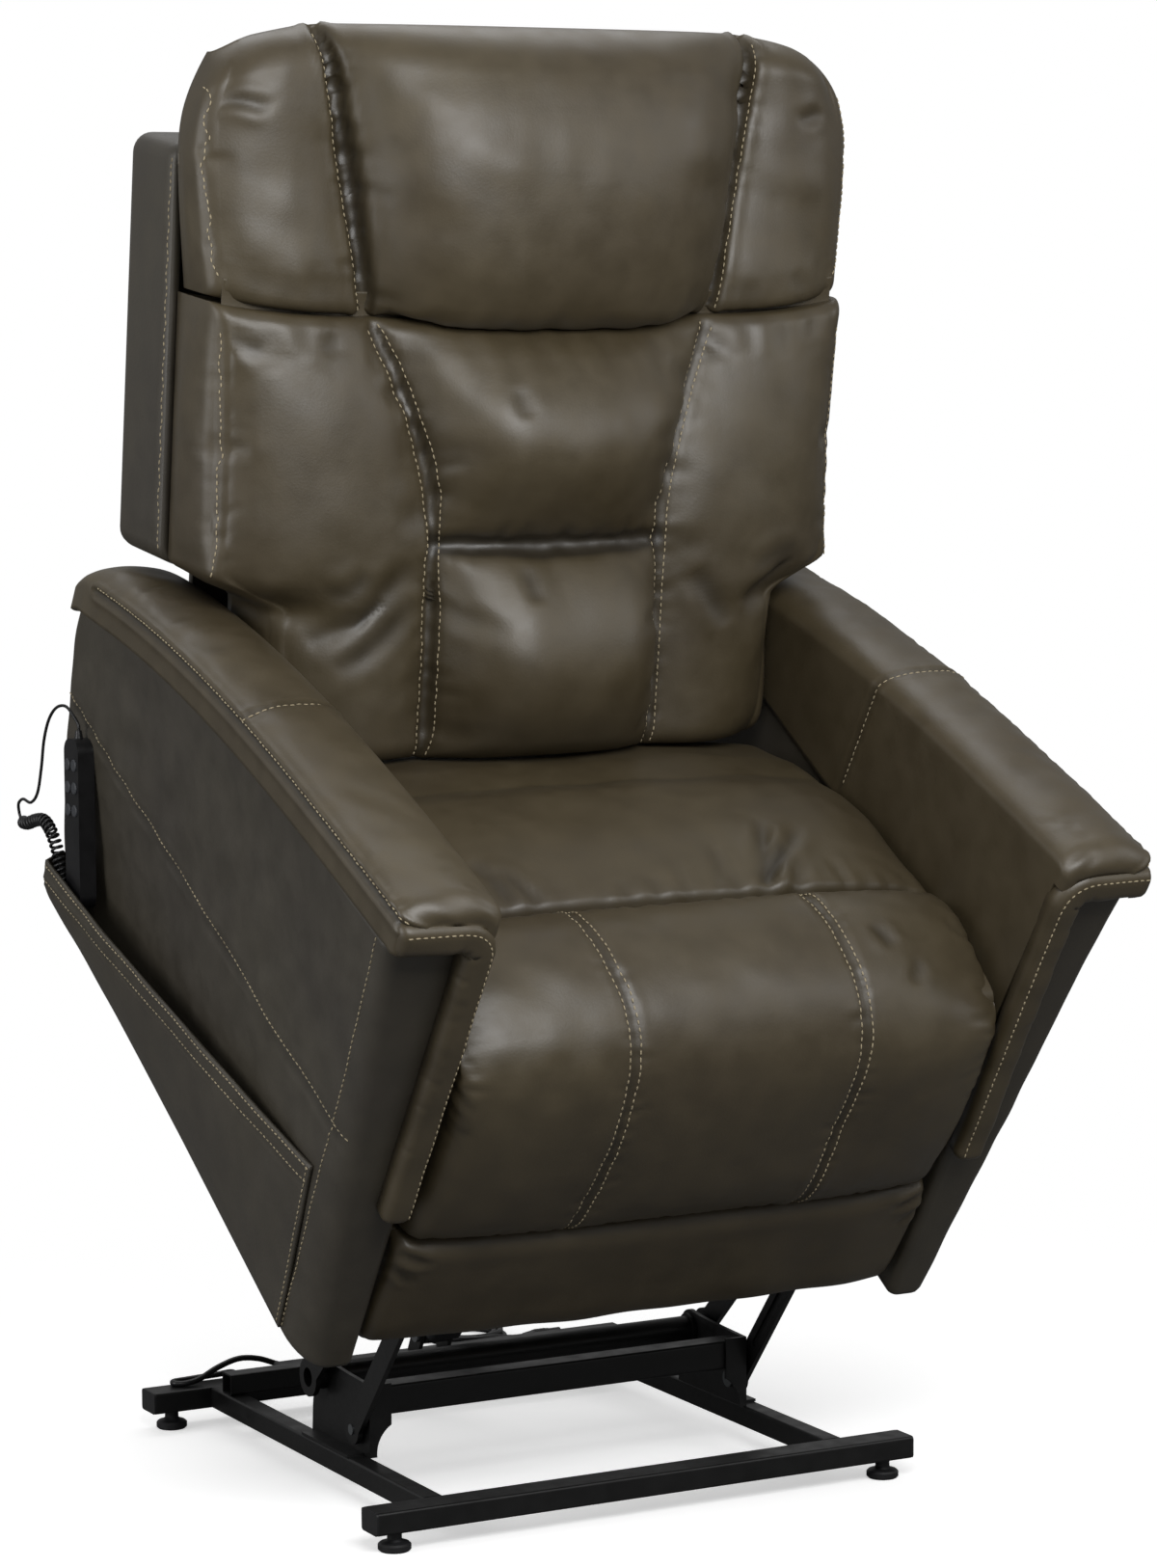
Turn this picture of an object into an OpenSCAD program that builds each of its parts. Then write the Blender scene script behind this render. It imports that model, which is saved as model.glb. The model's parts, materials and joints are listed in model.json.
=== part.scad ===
// Power lift recliner chair, drawn in its raised, stand-assist position.
// The origin is on the floor under the middle of the raised chair, +Z up, and the chair faces -Y.
// Chair pieces are drawn in the seated position, with y from the front panel and z from the floor,
// and raised() then carries them up and forward, as the lift links do.

/* [Chair] */
// Width over the arm pads
overall_w = 890; // [888:1:892]
// Clear width between the arms
between_arms = 670; // [668:1:672]
// Forward tilt of the raised chair, in degrees
raised_tilt = 32.6; // [32:0.1:33]
// How far the raised chair's own floor line is slid up its tilt
raised_by = 310; // [308:1:312]
// Lean of the back from upright, in degrees
back_lean = 25; // [24.5:0.1:25.5]

/* [Base frame] */
// Length of the front and rear rails
rail_len = 664; // [650:1:668]
// Width of the front and rear rails
rail_w = 38; // [36:1:40]
// Height of every rail
rail_h = 25; // [24:1:26]
// Underside of the rails above the floor
rail_z = 22; // [20:1:23]
// Wall of the steel tubes
tube_wall = 2; // [1.5:0.5:2.5]
// Radius of a levelling foot
foot_r = 18; // [16:1:20]

/* [Lift links] */
// Radius of the pivot pins
pin_r = 6; // [5.5:0.5:6]
// Thickness of a link
link_t = 6; // [5:0.5:6]
// Width of a link
link_w = 34; // [30:1:36]

/* [Upholstery] */
// Height of the arm pad's crown over its seam
arm_pad_h = 62; // [58:1:64]
// Curls of the handset lead
curls = 24; // [20:1:25]
// Turns in one layer of the stowed power lead
lead_turns = 2; // [2:1:3]

/* [Hidden] */
$fn = 40;

black = "#17181a";
leather = "#453d34";
plywood = "#c19a63";
zinc = "#8f9396";
frame_y = 165;                       // sets the raised chair's middle over the origin
slack = 0.3;                         // gap between soft pieces and what they touch
lowered_y = -281;                    // where the seated drawing's y = 0 comes down to

// Base stations, in the base's own y
front_rail_y = -356;
rear_rail_y = 245;
side_rail_x = 250;
rail_top = rail_z + rail_h;
web_x = 236;                         // inner face of the riser webs
web_t = 5;
lower_link_x = 244;                  // each plane's inner face, from the centre outwards
upper_link_x = 253;
plate_x = 262.5;
plate_t = 5;

// Pivots: base ones in the base's y and z, chair ones in the seated drawing's
upper_base = [-40, 115];
lower_base = [-135, 75];
upper_chair = [-44.6, 86];
lower_chair = [-104.4, 74.4];
lift_motor_base = [165, 96];
lift_motor_chair = [60, 200];
torque_r = 15;

footrest_hinge = [-150, 455];
footrest_motor_rear = [330, 235];
footrest_motor_tip = [-78, 388];
back_hinge = [500, 300];
back_motor_front = [140, 200];
back_motor_tip = [455, 340];
motor_x = [0, 85, -85];              // lift, footrest and backrest motors

// Places in the back's own drawing: y rearwards, z up along the back, from the shell's lower rear edge
shell_origin = [685, 496];
back_face = -131;                    // where the cushions rest on the back frame
shell_w = 400;
shell_depth = 127;
shell_h = 464;
head_hinge = [-215, 286];

function turn2(p, a) = [p[0] * cos(a) - p[1] * sin(a), p[0] * sin(a) + p[1] * cos(a)];
function to_base(p) = turn2([p[0], p[1] + raised_by], raised_tilt);
function to_back(p) = turn2(p - shell_origin, back_lean);
function dist(a, b) = norm(a - b);
function heading(a, b) = atan2(b[1] - a[1], b[0] - a[0]);
function lerp(a, b, t) = a + (b - a) * t;
function clamp01(t) = max(0, min(1, t));
function lobe(t, a, b) = sqrt(max(0, 1 - pow((2 * t - a - b) / (b - a), 2)));

// Height of the arm's top seam, falling ever faster towards the rear
function arm_t(y) = (y + 168) / 808;
function arm_seam(y) = 620 - 110 * arm_t(y) - 74 * pow(arm_t(y), 3);
// Outer face of an arm at a height
function arm_side(z) = 396 + 44 * (z - 30) / 590;
arm_in = between_arms / 2;
// Inner face of an arm at a height
function arm_inner(z) = arm_in + 5 * (640 - z) / 610;

// ---------- placing ----------

module based() translate([0, frame_y, 0]) children();

module raised() based() rotate([raised_tilt, 0, 0]) translate([0, 0, raised_by]) children();

module on_back() raised() translate([0, shell_origin[0], shell_origin[1]])
    rotate([-back_lean, 0, 0]) children();

module both_sides() for (s = [-1, 1]) scale_x(s) children();

module scale_x(s) if (s < 0) mirror([1, 0, 0]) children(); else children();

// A flat outline in y and z, made thick along x from x0
module plate(x0, t) translate([x0, 0, 0]) rotate([90, 0, 90]) linear_extrude(t) children();

module disc(p, r) translate(p) circle(r);

// A straight bar outline with round ends of a given number of steps
module bar(a, b, w, steps = 12) let (h = heading(a, b), r = w / 2) polygon(concat(
    [for (i = [0:steps]) let (t = h + 90 + 180 * i / steps) a + r * [cos(t), sin(t)]],
    [for (i = [0:steps]) let (t = h - 90 + 180 * i / steps) b + r * [cos(t), sin(t)]]));

// An outline of corners [y, z, radius], each rounded by an arc that starts and ends on its two edges
function wrapped(a) = a - 360 * floor((a + 180) / 360);
function corner(a, b, c, r) = let (u = unit(a - b), v = unit(c - b), half = acos(u * v) / 2,
        mid = b + unit(u + v) * r / sin(half), t0 = atan2((b + u * r / tan(half) - mid)[1], (b + u * r / tan(half) - mid)[0]),
        turn = wrapped(heading(b, c) - heading(a, b)), k = max(1, ceil(abs(turn) / 15)))
    [for (i = [0:k]) mid + r * [cos(t0 + turn * i / k), sin(t0 + turn * i / k)]];
function flat(p) = [p[0], p[1]];
function softened(p) = let (n = len(p)) [for (i = [0:n - 1])
    each corner(flat(p[(i + n - 1) % n]), flat(p[i]), flat(p[(i + 1) % n]), p[i][2])];

module rounded(w, h, r) {
    square([w - 2 * r, h], center = true);
    square([w, h - 2 * r], center = true);
    for (x = [-1, 1], y = [-1, 1]) translate([x * (w / 2 - r), y * (h / 2 - r)]) circle(r);
}

module pipe(w, h, r, wall) difference() {
    rounded(w, h, r);
    rounded(w - 2 * wall, h - 2 * wall, max(r - wall, 0.5));
}

module along_x(x0, x1) translate([x0, 0, 0]) rotate([90, 0, 90]) linear_extrude(x1 - x0) children();

module cross_pin(p, x0, x1, r) translate([x0, p[0], p[1]]) rotate([0, 90, 0]) cylinder(x1 - x0, r, r);

// Skin over closed rings of equal length. Each end is closed by a fan from its middle, or by rungs
// between the ring's first half and its second
module skin(rings, ladder = false) {
    n = len(rings[0]);
    m = len(rings);
    mids = ladder ? [] : [for (r = [rings[0], rings[m - 1]]) [for (k = [0:2]) sum([for (p = r) p[k]]) / n]];
    walls = [for (i = [0:m - 2], j = [0:n - 1]) let (a = i * n + j, b = i * n + (j + 1) % n)
        each [[a, b, b + n], [a, b + n, a + n]]];
    fans = [for (j = [0:n - 1]) let (k = (j + 1) % n)
        each [[k, j, m * n], [(m - 1) * n + j, (m - 1) * n + k, m * n + 1]]];
    rungs = [for (j = [0:n / 2 - 2], low = [true, false]) let (a = low ? j : m * n - 1 - j,
            b = low ? n - 1 - j : (m - 1) * n + j) each [[a, b, low ? b - 1 : b + 1], [a, low ? b - 1 : b + 1, low ? a + 1 : a - 1]]];
    polyhedron(concat([for (r = rings) each r], mids), concat(walls, ladder ? rungs : fans), convexity = 8);
}

function reversed(v) = [for (i = [len(v) - 1:-1:0]) v[i]];
function sum(v, i = 0, s = 0) = i == len(v) ? s : sum(v, i + 1, s + v[i]);

// Unit vectors across a path, each carried on from the last without twist
function unit(v) = v / max(norm(v), 1e-9);
function tangents(p) = [for (i = [0:len(p) - 1]) unit(p[min(i + 1, len(p) - 1)] - p[max(i - 1, 0)])];
function carried(t, i, n, out) = i == len(t) ? out :
    let (m = unit(n - t[i] * (n * t[i]))) carried(t, i + 1, m, concat(out, [m]));

// A round tube of few sides along a path
module tube(path, r, sides) {
    t = tangents(path);
    start = unit(cross(t[0], abs(t[0][0]) < 0.8 ? [1, 0, 0] : [0, 1, 0]));
    n = carried(t, 0, start, []);
    skin([for (i = [0:len(path) - 1]) [for (j = [0:sides - 1]) let (a = -360 * j / sides)
        path[i] + r * (cos(a) * n[i] + sin(a) * cross(t[i], n[i]))]]);
}

// A smooth curve through hand-set points, k steps to each span
function spline_point(a, b, c, d, t) = 0.5 * (2 * b + (c - a) * t + (2 * a - 5 * b + 4 * c - d) * t * t
    + (3 * b - a - 3 * c + d) * t * t * t);
function smooth(p, k) = let (m = len(p) - 1) concat([for (i = [0:m - 1], s = [0:k - 1])
    spline_point(p[max(i - 1, 0)], p[i], p[i + 1], p[min(i + 2, m)], s / k)], [p[m]]);

// ---------- base frame ----------

module front_rail() color(black) based() translate([0, front_rail_y, rail_z + rail_h / 2]) difference() {
    along_x(-rail_len / 2, rail_len / 2) pipe(rail_w, rail_h, 3, tube_wall);
    for (x = [-foot_x, foot_x]) translate([x, 0, -rail_h]) cylinder(rail_h, 4.1, 4.1);
}

module rear_rail() color(black) based() translate([0, rear_rail_y, rail_z + rail_h / 2]) difference() {
    along_x(-rail_len / 2, rail_len / 2) pipe(rail_w, rail_h, 3, tube_wall);
    for (x = [-foot_x, foot_x]) translate([x, 0, -rail_h]) cylinder(rail_h, 4.1, 4.1);
}

foot_x = 305;

module side_rails() color(black) based() both_sides()
    translate([side_rail_x, rear_rail_y - rail_w / 2, rail_z + rail_h / 2]) rotate([90, 0, 0])
    linear_extrude(rear_rail_y - front_rail_y - rail_w) pipe(24, rail_h, 3, tube_wall);

module rail_end_caps() color(black) based() both_sides() for (y = [front_rail_y, rear_rail_y])
    translate([0, y, rail_z + rail_h / 2]) {
        along_x(rail_len / 2, rail_len / 2 + 2.5) rounded(rail_w, rail_h, 4);
        along_x(rail_len / 2 - 12, rail_len / 2)
            rounded(rail_w - 2 * tube_wall - 0.1, rail_h - 2 * tube_wall - 0.1, 1);
    }

// Turned feet with a grippy rim, a waist and a neck for the spanner
module levelling_feet() color(black) based() both_sides() for (y = [front_rail_y, rear_rail_y])
    translate([foot_x, y, 0]) rotate_extrude() polygon([[4, 2], [4, 0], [foot_r - 2, 0], [foot_r, 2],
        [foot_r, 7], [foot_r - 2, 9], [10, 11], [8, 13], [8, rail_z - 2], [4, rail_z - 2]]);

module foot_studs() color(zinc) based() both_sides() for (y = [front_rail_y, rear_rail_y])
    translate([foot_x, y, 2]) {
        cylinder(rail_z + 14, 4, 4);
        translate([0, 0, rail_z - 4]) cylinder(2, 9, 9);
    }

// Riser: a webbed upright on each side rail, flanged at the front, with a swept foot
riser_front = -163;
riser_rear = -12;
riser_outline = [[riser_front, rail_top], [riser_rear, rail_top], [riser_rear - 2, 76], [-20, 112],
    [-40, 137], [-60, 134], [-110, 131], [riser_front, 129]];

module riser_brackets() color(black) based() both_sides() {
    difference() {
        plate(web_x, web_t) {
            polygon(riser_outline);
            disc(upper_base, 22);
        }
        cross_pin(upper_base, web_x - 1, web_x + web_t + 1, torque_r + 0.1);
        cross_pin(lower_base, web_x - 1, web_x + web_t + 1, pin_r + 0.05);
    }
    plate(web_x - 22, 22) translate([riser_front, rail_top + 45]) square([4, 82 - 45]);
    translate([web_x, riser_front + 15, rail_top]) cube([26, 120, 3]);
    translate([web_x, riser_front + 4, rail_top]) rotate([90, 0, 0]) linear_extrude(4) difference() {
        translate([-22, 0]) square([22, 45]);
        translate([-40, 4]) circle(36);
    }
}

module front_cross_tube() color(black) based() translate([0, riser_front + 4 + 15, 109])
    along_x(-web_x, web_x) pipe(30, 33, 3, tube_wall);

motor_tube = [185, rail_top + 12.5];

module motor_cross_tube() color(black) based() {
    translate([0, motor_tube[0], motor_tube[1]])
        along_x(-side_rail_x - 10, side_rail_x + 10) pipe(25, 25, 3, tube_wall);
    for (s = [-1, 1]) difference() {
        plate(s * 19 - 2.5, 5) {
            bar(lift_motor_base, [motor_tube[0] - 6, motor_tube[1] + 10], 24);
        }
        cross_pin(lift_motor_base, s * 19 - 4, s * 19 + 4, pin_r + 0.05);
        translate([s * 19 - 4, motor_tube[0] - 12.5, motor_tube[1] - 12.5]) cube([8, 40, 25]);
    }
}

module base_pivot_pins() color(zinc) based() {
    both_sides() {
        cross_pin(lower_base, web_x - 5, lower_link_x + link_t + 1.5, pin_r);
        cross_pin(lower_base, web_x - 5, web_x, pin_r + 4);
    }
    cross_pin(lift_motor_base, -24.5, 24.5, pin_r);
    for (s = [-1, 1]) cross_pin(lift_motor_base, s * 23.5 - 1.9, s * 23.5 + 1.9, pin_r + 3.5);
}

junction = [-160, motor_tube[0] + 12.5, motor_tube[1]];

module junction_box() color(black) based() translate([junction[0], junction[1] + 9, junction[2]]) {
    rotate([90, 0, 0]) linear_extrude(18, center = true) rounded(52, 22, 3);
    translate([0, 9, 0]) rotate([-90, 0, 0]) cylinder(10, 6, 5);
}

// ---------- lift links ----------

// A pressed link between two drawing points, with a boss round each bore
module link(a, b, x0, r_a, r_b) difference() {
    union() {
        plate(x0, link_t) bar(a, b, link_w - 6);
        plate(x0, link_t) {
            disc(a, max(link_w / 2, r_a + 8));
            disc(b, link_w / 2);
        }
    }
    cross_pin(a, x0 - 1, x0 + link_t + 1, r_a);
    cross_pin(b, x0 - 1, x0 + link_t + 1, r_b);
    plate(x0 - 1, link_t * 0.4 + 1) bar(lerp(a, b, 0.25), lerp(a, b, 0.75), 8);
}

module upper_lift_links() color(black) based() both_sides()
    link(upper_base, to_base(upper_chair), upper_link_x, torque_r - 1, pin_r + 0.05);

// Cross shaft through both risers, stepped down into the upper links
module lift_torque_tube() color(black) based() difference() {
    union() {
        cross_pin(upper_base, -upper_link_x, upper_link_x, torque_r);
        cross_pin(upper_base, -upper_link_x - link_t, upper_link_x + link_t, torque_r - 1);
        for (s = [-1, 1]) cross_pin(upper_base, s * (web_x - 3) - 2, s * (web_x - 3) + 2, torque_r + 3);
    }
    cross_pin(upper_base, -upper_link_x - 9, upper_link_x + 9, torque_r - 4);
}

open_pivot = 6.5;                    // spare radius at a pivot that is left open

module lower_lift_links() color(black) based() both_sides()
    link(lower_base, to_base(lower_chair), lower_link_x, pin_r + 0.05, pin_r + open_pivot);

// ---------- motors ----------

// Linear actuator from a rear pivot towards a tip, both in y and z: gearbox, motor can and outer tube
module actuator(rear, tip, x, tube_end, can_side) translate([x, rear[0], rear[1]])
    rotate([heading(rear, tip), 0, 0]) difference() {
        union() {
            rotate([0, 90, 0]) cylinder(30, 13, 13, center = true);
            translate([-11, 0, -13]) cube([22, 24, 26]);
            translate([0, 52, 0]) rotate([90, 0, 0]) linear_extrude(60, center = true) rounded(44, 50, 8);
            translate([0, 61, can_side * 14]) rotate([can_side > 0 ? 0 : 180, 0, 0]) cylinder(66, 20.5, 19);
            translate([0, 40, 0]) rotate([-90, 0, 0]) cylinder(tube_end - 40, 16, 16);
            translate([0, tube_end - 14, 0]) rotate([-90, 0, 0]) cylinder(14, 17.5, 17.5);
        }
        rotate([0, 90, 0]) cylinder(40, pin_r + 0.05, pin_r + 0.05, center = true);
        translate([0, 90, 0]) rotate([-90, 0, 0]) cylinder(tube_end, 10.4, 10.4);
    }

// Its chromed rod, with the nut inside the tube, a neck and the cross pin of the open pivot
module actuator_rod(rear, tip, x, rod_len) translate([x, tip[0], tip[1]])
    rotate([heading(tip, rear), 0, 0]) {
        translate([0, 5, 0]) rotate([-90, 0, 0]) cylinder(rod_len - 5, 10, 10);
        rotate([0, 90, 0]) cylinder(26, 9.5, 9.5, center = true);
        rotate([0, 90, 0]) cylinder(46, 5, 5, center = true);
    }

lift_raised_len = dist(lift_motor_base, to_base(lift_motor_chair));

module lift_motor() color(black) based()
    actuator(lift_motor_base, to_base(lift_motor_chair), motor_x[0], 360, -1);

module lift_motor_rod() color(zinc) based()
    actuator_rod(lift_motor_base, to_base(lift_motor_chair), motor_x[0], lift_raised_len - 265);

module footrest_motor() color(black) raised()
    actuator(footrest_motor_rear, footrest_motor_tip, motor_x[1], 395, -1);

module footrest_motor_rod() color(zinc) raised()
    actuator_rod(footrest_motor_rear, footrest_motor_tip, motor_x[1], 335);

module backrest_motor() color(black) raised()
    actuator(back_motor_front, back_motor_tip, motor_x[2], 305, 1);

module backrest_motor_rod() color(zinc) raised()
    actuator_rod(back_motor_front, back_motor_tip, motor_x[2], 235);

// ---------- chair mechanism ----------

side_plate = [[-126, 53, 19], [-22, 61, 22], [-14, 190, 34], [470, 206, 30], [520, 226, 34],
    [523, 324, 20], [478, 322, 18], [468, 252, 34], [-92, 236, 22], [-122, 216, 20]];

// Side plate: front leg to the lift pivots, long rail under the seat and horn up to the back hinge
module mechanism_plates() color(black) raised() both_sides() {
    difference() {
        plate(plate_x, plate_t) polygon(softened(side_plate));
        for (p = [upper_chair, lower_chair, back_hinge])
            cross_pin(p, plate_x - 1, plate_x + plate_t + 1, pin_r + 0.05);
    }
}

module chair_pivot_pins() color(zinc) raised() both_sides() {
    cross_pin(upper_chair, upper_link_x - 1.5, plate_x + plate_t + 5, pin_r);
    cross_pin(lower_chair, lower_link_x - 1.5, plate_x + plate_t + 5, pin_r);
    cross_pin(back_hinge, plate_x - 5, back_plate_x + plate_t + 1.5, pin_r);
    for (p = [upper_chair, lower_chair]) cross_pin(p, plate_x + plate_t, plate_x + plate_t + 5, pin_r + 4);
    cross_pin(back_hinge, plate_x - 5, plate_x, pin_r + 4);
}

back_plate_x = 271;

// Ear plates with a long hole for the open pivot of a motor rod
module slotted_ears(x, at, to, foot, slot) for (s = [-1, 1]) difference() {
    plate(x + s * 19 - 2.5, 5) {
        bar(at, to, slot + 16);
        bar(lerp(at, to, 0.5), foot, 27);
    }
    plate(x + s * 19 - 4, 8) bar(at, to, slot);
}

front_tube = [-72, 205];
lift_tube = [60, 238];
mid_tube = [114, 220];
foot_motor_tube = [352, 222];
rear_tube = [470, 235];

module seat_cross_tubes() color(black) raised() {
    difference() {
        union() {
            for (p = [front_tube, lift_tube, mid_tube, foot_motor_tube, rear_tube])
                cross_pin(p, -plate_x, plate_x, 12);
            for (s = [-1, 1]) {
                plate(motor_x[1] + s * 19 - 2.5, 5) bar(footrest_motor_rear, foot_motor_tube, 26);
                plate(motor_x[2] + s * 19 - 2.5, 5) bar(back_motor_front, mid_tube, 26);
            }
            slotted_ears(motor_x[0], lift_motor_chair, lift_motor_chair + [-5, -21], lift_tube, 17);
            cross_pin(footrest_motor_rear, motor_x[1] - 23, motor_x[1] + 23, pin_r);
            cross_pin(back_motor_front, motor_x[2] - 23, motor_x[2] + 23, pin_r);
        }
        for (p = [front_tube, lift_tube, mid_tube, foot_motor_tube, rear_tube])
            cross_pin(p, -plate_x - 1, plate_x + 1, 10);
    }
}

function seat_under(y) = 397 - 0.07 * y;

// Plywood seat box: two sides with a falling top edge, joined by a notched front and a rear rail
seat_front = -106;
seat_back = 408;
seat_side = [[seat_front, 214], [seat_back, 232], [seat_back, seat_under(seat_back)],
    [seat_front, seat_under(seat_front)]];
seat_side_x = plate_x + plate_t;

module seat_frame() color(plywood) raised() {
    both_sides() difference() {
        plate(seat_side_x, 22) polygon(seat_side);
        plate(seat_side_x - 1, 24) bar([40, 300], [300, 300], 44);
    }
    difference() {
        translate([-seat_side_x, seat_front, 290]) cube([2 * seat_side_x, 22, 112]);
        translate([motor_x[1] - 26, seat_front - 1, 330]) cube([52, 24, 80]);
    }
    translate([-seat_side_x, seat_back - 22, 347]) cube([2 * seat_side_x, 22, 21]);
}

// Sinuous wire springs from the front rail to the rear rail
spring_runs = 10;

spring_y = seat_front + 22;
spring_len = seat_back - 22 - spring_y;

module seat_springs() color(zinc) raised() for (x = [-232, -138, -38, 38, 138, 232])
    translate([x, spring_y, seat_under(spring_y) - 4.4])
    rotate([-atan(0.07), 0, 0]) linear_extrude(4) for (i = [0:spring_runs - 1]) let (y0 = i * spring_len / spring_runs,
        s = i % 2 * 2 - 1, y1 = (i + 1) * spring_len / spring_runs) {
            bar([s * 22, y0 + (i > 0 ? -2 : 2)], [s * 22, y1 - 2], 4, 4);
            if (i < spring_runs - 1) bar([-22, y1 - 2], [22, y1 - 2], 4, 4);
        }

module arm_mounts() color(black) raised() both_sides() for (y = [20, 320]) {
    translate([seat_side_x + 22, y, 262]) cube([4, 60, 76]);
    translate([seat_side_x + 22, y, 262]) cube([arm_frame_x - seat_side_x - 22, 60, 4]);
    translate([arm_frame_x - 4, y, 262]) cube([4, 60, 76]);
}

// ---------- arms ----------

arm_rear = [[668, 424], [692, 405], [698, 360], [682, 247], [653, 128], [630, 74], [612, 30]];
arm_stations = [-165, -60, 60, 180, 300, 410, 510, 590, 640];
arm_outline = concat([[-165, 30]], [for (y = arm_stations) [y, arm_seam(y)]], arm_rear);
arm_core = concat([[-149, 0]], [for (i = [0:7]) [-149 + 98 * i, arm_seam(-149 + 98 * i) - 16]],
    [[640, 412], [668, 396], [681, 360], [665, 250], [636, 131], [613, 77], [598, 30], [598, 0]]);
arm_frame_x = 352;

// Upholstered arm box, open below, that widens upwards outside
module arm_shell() difference() {
    intersection() {
        plate(arm_in - 5, overall_w / 2) polygon(arm_outline);
        translate([0, 800, 0]) rotate([90, 0, 0]) linear_extrude(1000)
            polygon([[arm_in + 5, 30], [arm_side(30), 30], [arm_side(640), 640], [arm_in, 640]]);
    }
    intersection() {
        plate(arm_in + 10, overall_w / 2) polygon(arm_core);
        translate([0, 800, 0]) rotate([90, 0, 0]) linear_extrude(1000)
            polygon([[arm_in + 17, 0], [arm_side(0) - 12, 0], [arm_side(640) - 12, 640], [arm_in + 17, 640]]);
    }
    for (y = [20, 320]) translate([arm_in - 10, y - 1, 261]) cube([30, 62, 78]);
}

module arm_shell_right() color(leather) raised() scale_x(-1) arm_shell();

module arm_shell_left() color(leather) raised() scale_x(1) arm_shell();

// Plywood panel inside the arm, with lightening windows
module arm_frame() difference() {
    plate(arm_frame_x, 18) polygon([[-140, 45], [-140, 585], [60, 560], [300, 520], [500, 465], [600, 430],
        [650, 400], [640, 250], [580, 45]]);
    plate(arm_frame_x - 1, 20) {
        bar([-60, 440], [200, 440], 110);
        bar([330, 380], [470, 380], 90);
        bar([20, 150], [440, 150], 100);
    }
}

module arm_frames() color(plywood) raised() both_sides() arm_frame();

// Arm pad: boxed sides under a crowned top, rolled down at the front and drawn in at the rear
pad_front = -192;
pad_rear = 676;
pad_in = arm_in - 4;
pad_out = overall_w / 2;
pad_stations = concat([-192, -189, -182, -174], arm_stations, [658, 670, 676]);

function pad_rise(y) = min(1, sqrt(clamp01((y - pad_front + 1) / 34))) * sqrt(clamp01((pad_rear + 2 - y) / 90));
function pad_draw(y) = 14 * pow(clamp01((y - 560) / 116), 2) + 4 * pow(clamp01((-175 - y) / 17), 2);
function pad_foot(y) = max(arm_seam(min(y, 640)), arm_seam(-165) * (y < -165 ? 1 : 0))
    + 12 * pow(clamp01((y - 640) / 36), 2);
// The pad's outline at one station: sides up to the topstitch, then the crown over to the other side
function pad_ring(y) = let (b = pad_foot(y), h = arm_pad_h * pad_rise(y) * (y > 640 ? 0.85 : 1), d = pad_draw(y),
        mid = (pad_in + pad_out) / 2, w = (pad_out - pad_in) / 2 - d)
    concat([[mid - w + 4, y, b], [mid + w - 4, y, b], [mid + w, y, b + 0.12 * h], [mid + w, y, b + 0.5 * h]],
        [for (a = [20:20:160]) [mid + w * cos(a) * (1 - 0.12 * sin(a)), y, b + 0.5 * h + 0.5 * h * sin(a)]],
        [[mid - w, y, b + 0.5 * h], [mid - w, y, b + 0.12 * h]]);

module arm_pad() skin([for (y = pad_stations) pad_ring(y)]);

module arm_pad_right() color(leather) raised() scale_x(-1) arm_pad();

module arm_pad_left() color(leather) raised() arm_pad();

// Padded strip that runs down the inner edge of each arm front
module arm_front_trims() color(leather) raised() both_sides()
    translate([arm_in + 15, -165 - 11, 250]) linear_extrude(362) rounded(28, 22, 8);

// ---------- side pocket ----------

pocket_front = -104;
pocket_rear = 606;
pocket_wall = 4;
pocket_stations = [pocket_front, -60, 0, 80, 160, 240, 320, 400, 470, 530, 575, 592, 602, pocket_rear];
pocket_rows = 6;

function lip_z(y) = 123 + 145 * (585 - y) / 681;
function pocket_gap(y, v) = 0.02 + 40 * pow(clamp01((y - pocket_front) / 640), 1.2)
    * pow(clamp01((pocket_rear - y) / 22), 0.6) * pow(sin(90 * v), 0.7);
function pocket_point(y, j, out) = let (v = j / pocket_rows, z = lerp(36, lip_z(y), v))
    [min(arm_side(z) + pocket_gap(y, v), overall_w / 2 - pocket_wall) + out, y, z];
function pocket_col(y) = concat([for (j = [0:pocket_rows]) pocket_point(y, j, pocket_wall)],
    [for (j = [pocket_rows:-1:0]) pocket_point(y, j, 0)]);

module side_pocket() color(leather) raised() mirror([1, 0, 0])
    skin([for (y = pocket_stations) pocket_col(y)]);

// ---------- seat ----------

seat_half = 325;
seat_cols = 17;
seat_rear = 398;

function seat_top(y, u) = let (edge = pow(abs(u), 4))
    min(501 - 26 * pow(clamp01(y / 250), 2) - 60 * pow(clamp01((y - 200) / 200), 1.3),
        452 - 0.48 * (y - 300))
    + 16 * sin(180 * clamp01((y + 10) / 260)) * (1 - edge) - 34 * edge;
// Seat outline at one station across, from the front seam over the crown and back under
function seat_ring(i) = let (u = cos(180 * (1 - i / seat_cols)), x = seat_half * sign(u) * pow(abs(u), 0.55))
    concat([for (y = [0.2, 10, 40, 90, 150, 210, 260, 310, 350, 380, seat_rear])
            [x, y, max(seat_top(y, u) - (y < 5 || y > 390 ? 12 : 0), seat_under(y) + 6)]],
        [[x, seat_rear, seat_under(seat_rear)], [x, 200, seat_under(200)], [x, 0.2, seat_under(0)]]);

module seat_cushion() color(leather) raised() skin([for (i = [0:seat_cols]) seat_ring(i)]);

// Flexible front of the chaise: a thick skin from the seat seam over the front edge
roll_path = [[0, 506], [-22, 516], [-58, 522], [-100, 518], [-140, 505], [-172, 484], [-194, 455], [-202, 428]];
roll_under = [[-164, 428], [-166, 446], [-162, 469], [-142, 476], [-100, 480], [-58, 478], [-22, 467], [0, 450]];
roll_half = 322;
roll_cols = 13;

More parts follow.
